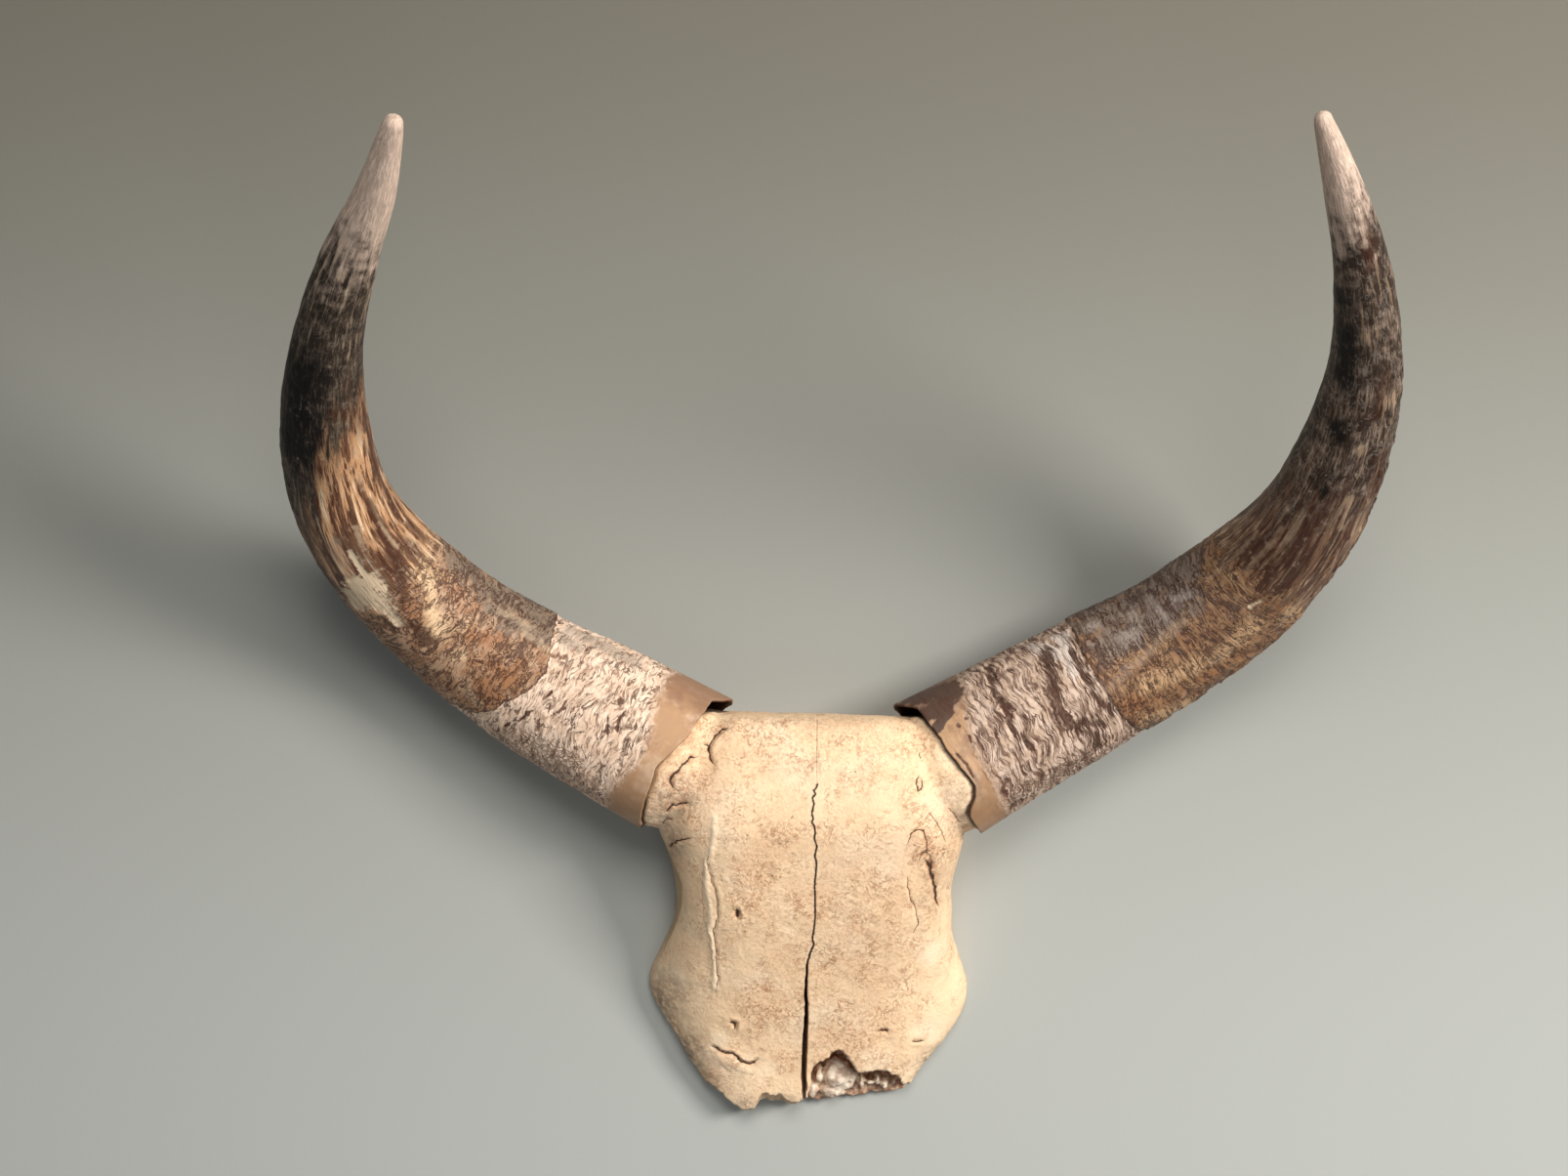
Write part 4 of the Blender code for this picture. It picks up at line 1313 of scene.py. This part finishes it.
def relief_of(side, run, angle, straight, zone):
    """How far each corner stands out, in millimetres. Straight is its place on the horn unbent, in metres."""
    crosswise, lengthwise = straight * CROSSWISE, straight * LENGTHWISE
    ragged = 0.25 * grain(straight, 0.010, 51, 4)
    outer, amber = torn(zone["step"], ragged), torn(zone["amber"], 0.6 * ragged)
    streaks, peel = torn(zone["streaks"], ragged, 0.3), torn(zone["peel"], 0.6 * ragged)
    fibre = (1 - outer) * (1 - amber)
    smooth_end = rise(run, 560, 640)
    burl = outer * (1 - streaks) * (1 - peel)
    out = 0.8 * grain(straight, 0.05, 66) * rise(run, 5, 60) * (1 - 0.7 * smooth_end)
    out += 1.3 * outer * (1 - rise(run, 200, 420))
    out += fibre * 0.65 * grain(crosswise, 0.0032, 61, 4) + fibre * 0.5 * grain(straight, 0.016, 60)
    out -= 1.2 * torn(zone["holes"], ragged, 0.25) + fibre * 0.9 * torn(zone["bands"], ragged, 0.25)
    out += burl * (0.35 * grain(straight, 0.009, 67) + 0.30 * grain(crosswise, 0.004, 68))
    out += streaks * (1 - peel) * (1 - smooth_end) * 0.4 * grain(lengthwise, 0.0032, 64, 4)
    out -= 0.9 * peel
    outer_bend = hill(np.degrees(angle), -85, 34) * rise(run, 130, 190) * (1 - rise(run, 470, 560))
    flakes = rise(grain(straight * FLAKING, 0.008, 69, 3), 0.1, 0.35)
    out += (1.5 if side == "right" else 0.5) * outer_bend * flakes
    if side == "right":
        out += 1.0 * hill(run - rim_at(side, angle), 4.5, 3.0) * hill(np.degrees(angle), -8, 24)
    worn = hill(run, horn_lines[side].length, 9)
    return out - worn * 0.6 * (1 + grain(straight, 0.006, 70))


print("zones and relief ready")

# %% [markdown]
# ## Rolling up the sheaths
# Now the flat grid is rolled up. Each corner gets its distance from the rim and its angle, the torn rim moves the
# first rows, and the relief is added to the radius. The first column is welded to the last and the open ends are
# filled, so that a sheath is one closed skin. The place on the horn unbent is kept as a note, so that patterns can
# follow the bend.

# %% Make the sheaths
LOOSE_RUN = 45  # over which the torn rim fades into the square rows
WELD = 0.02


def make_sheath(side):
    """One sheath: a rolled grid with its relief and its notes, welded where its columns meet."""
    line = horn_lines[side]
    rows = sheath_rows(line)
    mesh, column, row = rolled_grid("horn_sheath_" + side + "_skin", rows)
    angle = (column % SIDES) / SIDES * math.tau
    angle = np.where(angle > math.pi, angle - math.tau, angle)
    run, depth, width = rows[row].T
    moved = run + rim_at(side, angle) * (1 - rise(run, 0, LOOSE_RUN))
    outer_radius = line.read(line.radius, np.minimum(run, line.length))
    straight = np.stack([np.cos(angle) * outer_radius, np.sin(angle) * outer_radius, moved], 1) * MM
    zone = zones_of(side, moved, angle)
    out = relief_of(side, moved, angle, straight, zone)
    full_depth = np.where(depth > 0, wall_at(line, np.maximum(moved, -8)), 0)
    radius = (outer_radius - depth * full_depth + out * (1 - depth)) * width
    move_corners(mesh, line.points(moved, angle, radius))
    for name, values in zone.items():
        note(mesh, name, np.clip(values, 0, 1))
    note(mesh, "inside", depth)
    note(mesh, "angle", np.sin(angle))
    unbent = mesh.attributes.new("straight", "FLOAT_VECTOR", "POINT")
    unbent.data.foreach_set("vector", straight.astype(np.float32).ravel())
    bm = bmesh.new()
    bm.from_mesh(mesh)
    bmesh.ops.remove_doubles(bm, verts=bm.verts, dist=WELD * MM)
    bmesh.ops.holes_fill(bm, edges=bm.edges)
    bmesh.ops.recalc_face_normals(bm, faces=bm.faces)
    bm.to_mesh(mesh)
    bm.free()
    sheath = bpy.data.objects.new("sheath_" + side, mesh)
    bpy.context.scene.collection.objects.link(sheath)
    mesh.shade_smooth()
    return sheath


sheaths = {side: make_sheath(side) for side in HORNS}
print("sheaths:", {name: len(s.data.loops) - 2 * len(s.data.polygons) for name, s in sheaths.items()}, "triangles")

# %% [markdown]
# ## The finish of horn
# Horn is keratin, laid down in layers. Read from the rim: amber and smooth, then pinkish fibres with dark gaps,
# orange or tan burl with dark lines, orange and brown streaks, near black, and a pale worn tip. All the patterns
# follow the horn unbent, so they turn with it and show no seam. The two horns have the same recipe and different
# colours. Where it is smooth it has a dull shine.

# %% Horn colours
# Painted shade, near black, for the inside of the hollow sheath.
HOLLOW_SHADE = (0.045, 0.014, 0.008)
# amber_low and amber_high are darker ambers; on the amber band they are painted shade on its lower and upper
# sides.
TONES = {
    "left": {
        "strand": (0.93, 0.70, 0.53), "strand_low": (0.80, 0.56, 0.40), "ground": (0.44, 0.255, 0.165),
        "amber": (0.50, 0.29, 0.15), "amber_low": (0.32, 0.18, 0.095), "amber_high": (0.24, 0.13, 0.08),
        "grey": (0.42, 0.33, 0.25), "band": (0.22, 0.11, 0.065),
        "burl": (0.50, 0.31, 0.19), "burl_low": (0.36, 0.175, 0.085), "line": (0.065, 0.021, 0.010),
        "upper": (0.17, 0.118, 0.080), "golden": (0.80, 0.54, 0.32), "orange": (0.38, 0.17, 0.075),
        "streak": (0.54, 0.29, 0.145), "streak_pale": (0.84, 0.62, 0.41), "dark": (0.032, 0.022, 0.016),
        "dark_pale": (0.17, 0.12, 0.085), "tip": (0.82, 0.62, 0.49),
    },
    "right": {
        "strand": (0.62, 0.46, 0.355), "strand_low": (0.48, 0.33, 0.235), "ground": (0.16, 0.080, 0.052),
        "amber": (0.46, 0.27, 0.14), "amber_low": (0.26, 0.14, 0.072), "amber_high": (0.15, 0.092, 0.062),
        "grey": (0.60, 0.51, 0.44), "band": (0.070, 0.028, 0.015), "film": (0.075, 0.042, 0.030),
        "burl": (0.32, 0.18, 0.09), "burl_low": (0.23, 0.105, 0.045), "line": (0.050, 0.016, 0.008),
        "upper": (0.070, 0.038, 0.023), "golden": (0.52, 0.32, 0.17), "orange": (0.34, 0.15, 0.062),
        "streak": (0.16, 0.085, 0.047), "streak_pale": (0.48, 0.33, 0.215), "dark": (0.036, 0.022, 0.015),
        "dark_pale": (0.21, 0.145, 0.105), "tip": (0.76, 0.57, 0.45),
    },
}
PEELED = (0.68, 0.54, 0.37)
DARK_RED = (0.085, 0.028, 0.015)
BLACK = (0.006, 0.005, 0.005)
print("tones:", {side: len(tones) for side, tones in TONES.items()})

# %% [markdown]
# ## One recipe for both horns
# Each zone is first mixed as if it covered the whole horn: fibres, burl, streaks, the dark stretch and the tip.
# Then the zones are laid over each other, each with a border torn by noise, and stains, bare spots and holes go
# between them and on top. The same noises make the relief, so that light and colour agree.

# %% Horn finish
STRAND_STRETCH = {"left": 0.25, "right": 0.13}  # how drawn out the fibres are, crosswise
STRAND_LEVELS = {"left": (0.33, 0.50), "right": (0.38, 0.54)}  # the noise between which a fibre's edge lies
WARP_SCALE = 62.0
WARP = (0.012, 0.012, 0.012)  # metres


def horn_finish(side):
    """The zones of a horn one after the other, then how they follow each other along it."""
    horn, tone = Finish("horn_" + side), TONES[side]
    unbent = horn.attribute("straight", "Vector")
    cross = STRAND_STRETCH[side]
    swirl = horn.add("TexNoise", {"Vector": unbent, "Scale": WARP_SCALE, "Detail": 2.0}, output="Color")
    warp = horn.add("VectorMath", {0: swirl, 1: WARP}, operation="MULTIPLY")
    warped = horn.add("VectorMath", {0: unbent, 1: warp}, operation="ADD")
    crosswise = horn.stretch(warped, cross, cross, 1.0)
    lengthwise = horn.stretch(unbent, 1.0, 1.0, 0.055)
    broad = horn.noise(horn.stretch(unbent, 1.0, 1.0, 0.12), 0.010, 4, 0.6)
    coarse = horn.noise(unbent, 0.011, 5, 0.62)
    tear = horn.noise(unbent, 0.0055, 5, 0.68)
    clouds = horn.between(coarse, 0.40, 0.60)

    raw_strands = horn.noise(crosswise, 0.0021, 5, 0.66, 0.5)
    strands = horn.between(raw_strands, *STRAND_LEVELS[side])
    some = horn.between(horn.noise(unbent, 0.013, 3), 0.44, 0.58)
    gaps = horn.times(horn.lines(crosswise, 0.0046, 0.038, 4, 0.5), some)
    fibre = horn.mix(strands, tone["ground"], horn.mix(clouds, tone["strand"], tone["strand_low"]))
    fibre = horn.mix(horn.times(gaps, 0.85), fibre, DARK_RED)
    comb = horn.patch("comb", tear)
    walls = horn.less(horn.between(horn.cells(warped, 0.0040), 0.03, 0.20))
    fibre = horn.mix(horn.times(comb, walls, 0.55), fibre, tone["band"])
    fibre = horn.mix(horn.times(horn.patch("grey", raw_strands, 0.3, 2.5), 0.75), fibre, tone["grey"])
    bands = horn.patch("bands", horn.less(raw_strands), 0.25, 2.9)
    fibre = horn.mix(horn.times(bands, 0.93), fibre, tone["band"])

    burl = horn.mix(clouds, tone["burl"], tone["burl_low"])
    burl = horn.mix(horn.patch("golden", coarse, 0.3, 2.2), burl, tone["golden"])
    burl = horn.mix(horn.times(horn.patch("orange", coarse, 0.4, 2.0), 0.8), burl, tone["orange"])
    upper = horn.patch("upper", coarse, 0.25, 1.6)
    grizzle = horn.mix(strands, tone["upper"], horn.mix(0.25, tone["upper"], tone["grey"]))
    burl = horn.mix(horn.times(upper, 0.9), burl, grizzle)
    here_and_there = horn.between(horn.noise(unbent, 0.017, 3), 0.44, 0.54)
    squiggles = horn.times(horn.lines(unbent, 0.0075, 0.060, 5, 1.8), here_and_there)
    arcs = horn.times(horn.lines(crosswise, 0.0075, 0.055, 5, 0.5), horn.between(tear, 0.42, 0.52))
    marks = horn.math("MAXIMUM", squiggles, arcs)
    burl = horn.mix(horn.times(marks, 0.88), burl, tone["line"])
    burl = horn.mix(horn.times(horn.less(strands), some, 0.65), burl, tone["line"])

    long_noise = horn.noise(lengthwise, 0.0036, 5, 0.66, 0.3)
    fine_long = horn.between(horn.noise(lengthwise, 0.0012, 4, 0.6), 0.40, 0.64)
    streaks = horn.mix(horn.between(long_noise, 0.43, 0.51), tone["line"], tone["streak"])
    streaks = horn.mix(horn.between(long_noise, 0.54, 0.64), streaks, tone["streak_pale"])
    streaks = horn.mix(horn.times(fine_long, 0.22), streaks, tone["streak"])
    streaks = horn.mix(horn.times(horn.between(broad, 0.48, 0.58), 0.84), streaks, tone["line"])
    hairs = horn.lines(horn.stretch(warped, 1.0, 1.0, 0.25), 0.006, 0.03, 4, 0.8)
    dark = horn.mix(horn.times(fine_long, horn.between(coarse, 0.40, 0.62)), tone["dark"], tone["dark_pale"])
    dark = horn.mix(horn.times(hairs, 0.18), dark, tone["grey"])
    dark = horn.mix(horn.times(horn.patch("brown", long_noise, 0.4, 2.4), 0.7), dark, tone["line"])
    dark = horn.mix(horn.times(horn.patch("pale", long_noise, 0.3, 4.0), 0.55), dark, tone["streak_pale"])
    dark = horn.mix(horn.times(horn.patch("black", long_noise, 0.3, 2.2), 0.95), dark, BLACK)
    tip = horn.mix(horn.times(horn.less(fine_long), 0.35), tone["tip"], tone["line"])
    tip = horn.mix(horn.times(horn.between(tear, 0.58, 0.72), 0.6), tip, tone["dark_pale"])

    step = horn.patch("step", tear, 0.03, 0.55)
    amber_share = horn.patch("amber", horn.blend(0.5, tear, raw_strands), 0.30, 1.6)
    streak_share = horn.patch("streaks", long_noise, 0.10, 1.6)
    dark_share = horn.patch("dark", horn.blend(0.35, long_noise, broad), 0.22, 2.6)
    tip_share = horn.patch("tip", horn.blend(0.5, long_noise, coarse), 0.35, 2.4)
    peel = horn.patch("peel", horn.blend(0.5, tear, coarse), 0.20, 2.4)
    near_step = horn.math("ADD", horn.attribute("step"), horn.times(horn.math("SUBTRACT", tear, 0.5), 0.55))
    step_shade_line = horn.times(horn.between(near_step, 0.46, 0.50), horn.less(horn.between(near_step, 0.55, 0.63)))
    near_amber = horn.math("ADD", horn.attribute("amber"), horn.times(horn.math("SUBTRACT", coarse, 0.5), 0.5))
    amber_edge = horn.times(horn.between(near_amber, 0.44, 0.50), horn.less(horn.between(near_amber, 0.52, 0.60)))

    amber = horn.mix(horn.times(clouds, 0.35), tone["amber"], tone["ground"])
    amber = horn.mix(horn.times(horn.less(strands), 0.25), amber, tone["ground"])
    frosted = horn.between(horn.noise(unbent, 0.02, 3), 0.5, 0.65)
    amber = horn.mix(horn.times(frosted, 0.35), amber, tone["strand"])
    # The amber band is painted darker on its lower and upper sides: painted shade.
    underside_shade = horn.between(horn.times(horn.attribute("angle"), -1.0), 0.0, 0.75)
    topside_shade = horn.between(horn.math("ADD", horn.attribute("angle"), horn.times(coarse, 0.5)), 0.75, 1.15)
    amber = horn.mix(horn.times(underside_shade, 0.65), amber, tone["amber_low"])
    amber = horn.mix(horn.times(topside_shade, 0.75), amber, tone["amber_high"])
    colour = horn.mix(step, fibre, burl)
    # A dark line along the torn step: painted shade under the lip of the outer layer.
    colour = horn.mix(horn.times(step_shade_line, 0.7), colour, tone["line"])
    colour = horn.mix(streak_share, colour, streaks)
    colour = horn.mix(horn.times(horn.patch("red", tear, 0.3, 2.2), 0.8), colour, tone["line"])
    colour = horn.mix(horn.times(horn.patch("cream", tear, 0.5, 2.2), 0.36), colour, tone["streak_pale"])
    colour = horn.mix(dark_share, colour, dark)
    colour = horn.mix(tip_share, colour, tip)
    colour = horn.mix(horn.times(horn.patch("spots", tear, 0.45, 1.8), 0.35), colour, tone["grey"])
    bare = horn.mix(horn.times(coarse, 0.8), PEELED, tone["streak_pale"])
    colour = horn.mix(horn.times(peel, 0.9), colour, bare)
    colour = horn.mix(amber_share, colour, amber)
    colour = horn.mix(horn.times(amber_edge, 0.3), colour, tone["strand"])
    if "film" in tone:  # a dark film lies over part of the right rim only
        film = horn.mix(horn.times(clouds, 0.5), tone["film"], DARK_RED)
        film = horn.mix(horn.times(strands, 0.25), film, tone["amber_high"])
        colour = horn.mix(horn.patch("film", coarse, 0.07, 1.1), colour, film)
    # Holes are painted dark red: painted shade in the pits.
    colour = horn.mix(horn.times(horn.patch("holes", tear, 0.2, 1.8), 0.9), colour, DARK_RED)
    # The hollow inside is painted near black as shade.
    colour = horn.mix(horn.times(horn.attribute("inside"), 0.9), colour, HOLLOW_SHADE)

    sunk = horn.math("ADD", gaps, horn.times(comb, walls))
    fibre_height = horn.math("SUBTRACT", horn.times(strands, 0.8), sunk)
    burl_height = horn.math("SUBTRACT", horn.times(strands, 0.35), horn.times(marks, 0.5))
    dark_height = horn.math("ADD", horn.times(fine_long, 0.25), horn.times(hairs, 0.15))
    height = horn.blend(step, fibre_height, burl_height)
    height = horn.blend(streak_share, height, horn.times(long_noise, 1.6))
    height = horn.blend(dark_share, height, dark_height)
    height = horn.blend(amber_share, height, horn.times(tear, 0.3))
    height = horn.math("SUBTRACT", height, horn.times(peel, 0.6))
    rough = horn.blend(step, horn.blend(amber_share, 0.85, 0.55), 0.5)
    rough = horn.blend(peel, rough, 0.8)
    shine = horn.blend(dark_share, 0.35, 0.12)
    relief = horn.bump(height, 0.0007)
    horn.set(horn.shader, {
        "Base Color": colour, "Roughness": rough, "Specular IOR Level": shine, "Normal": relief,
    })
    return horn.material


horn_materials = {side: horn_finish(side) for side in HORNS}
for side, sheath in sheaths.items():
    sheath.data.materials.append(horn_materials[side])
    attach(sheath, "root")
    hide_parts("horn_sheath_" + side)
print("horn finish:", len(horn_materials["left"].node_tree.nodes), "nodes")

# %% [markdown]
# ## The cores
# The bony cores are right as they are, and lie almost wholly inside the sheaths. They keep their shape and get a
# porous bone finish, so that nothing plain shows where one looks up into a sheath.

# %% Core finish
CORE_BONE = (0.60, 0.46, 0.33)

core_finish = Finish("horn_core")
core_here = core_finish.here()
core_pores = core_finish.between(core_finish.noise(core_here, 0.003, 4, 0.65), 0.50, 0.66)
core_finish.set(core_finish.shader, {
    "Base Color": core_finish.mix(core_pores, CORE_BONE, GREY_BROWN), "Roughness": 0.85,
    "Normal": core_finish.bump(core_finish.math("MULTIPLY", core_pores, -1.0), 0.001),
})
for side in HORNS:
    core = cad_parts["horn_core_" + side]
    core.data.materials.clear()
    core.data.materials.append(core_finish.material)
print("cores finished:", len(HORNS))

# %% [markdown]
# ## The solids' box
# The finished model has to fill the same box as the solids, so the solids' size is printed.

# %% Print the solids' size
print("solids:", [round(v, 3) for v in cad_high - cad_low])
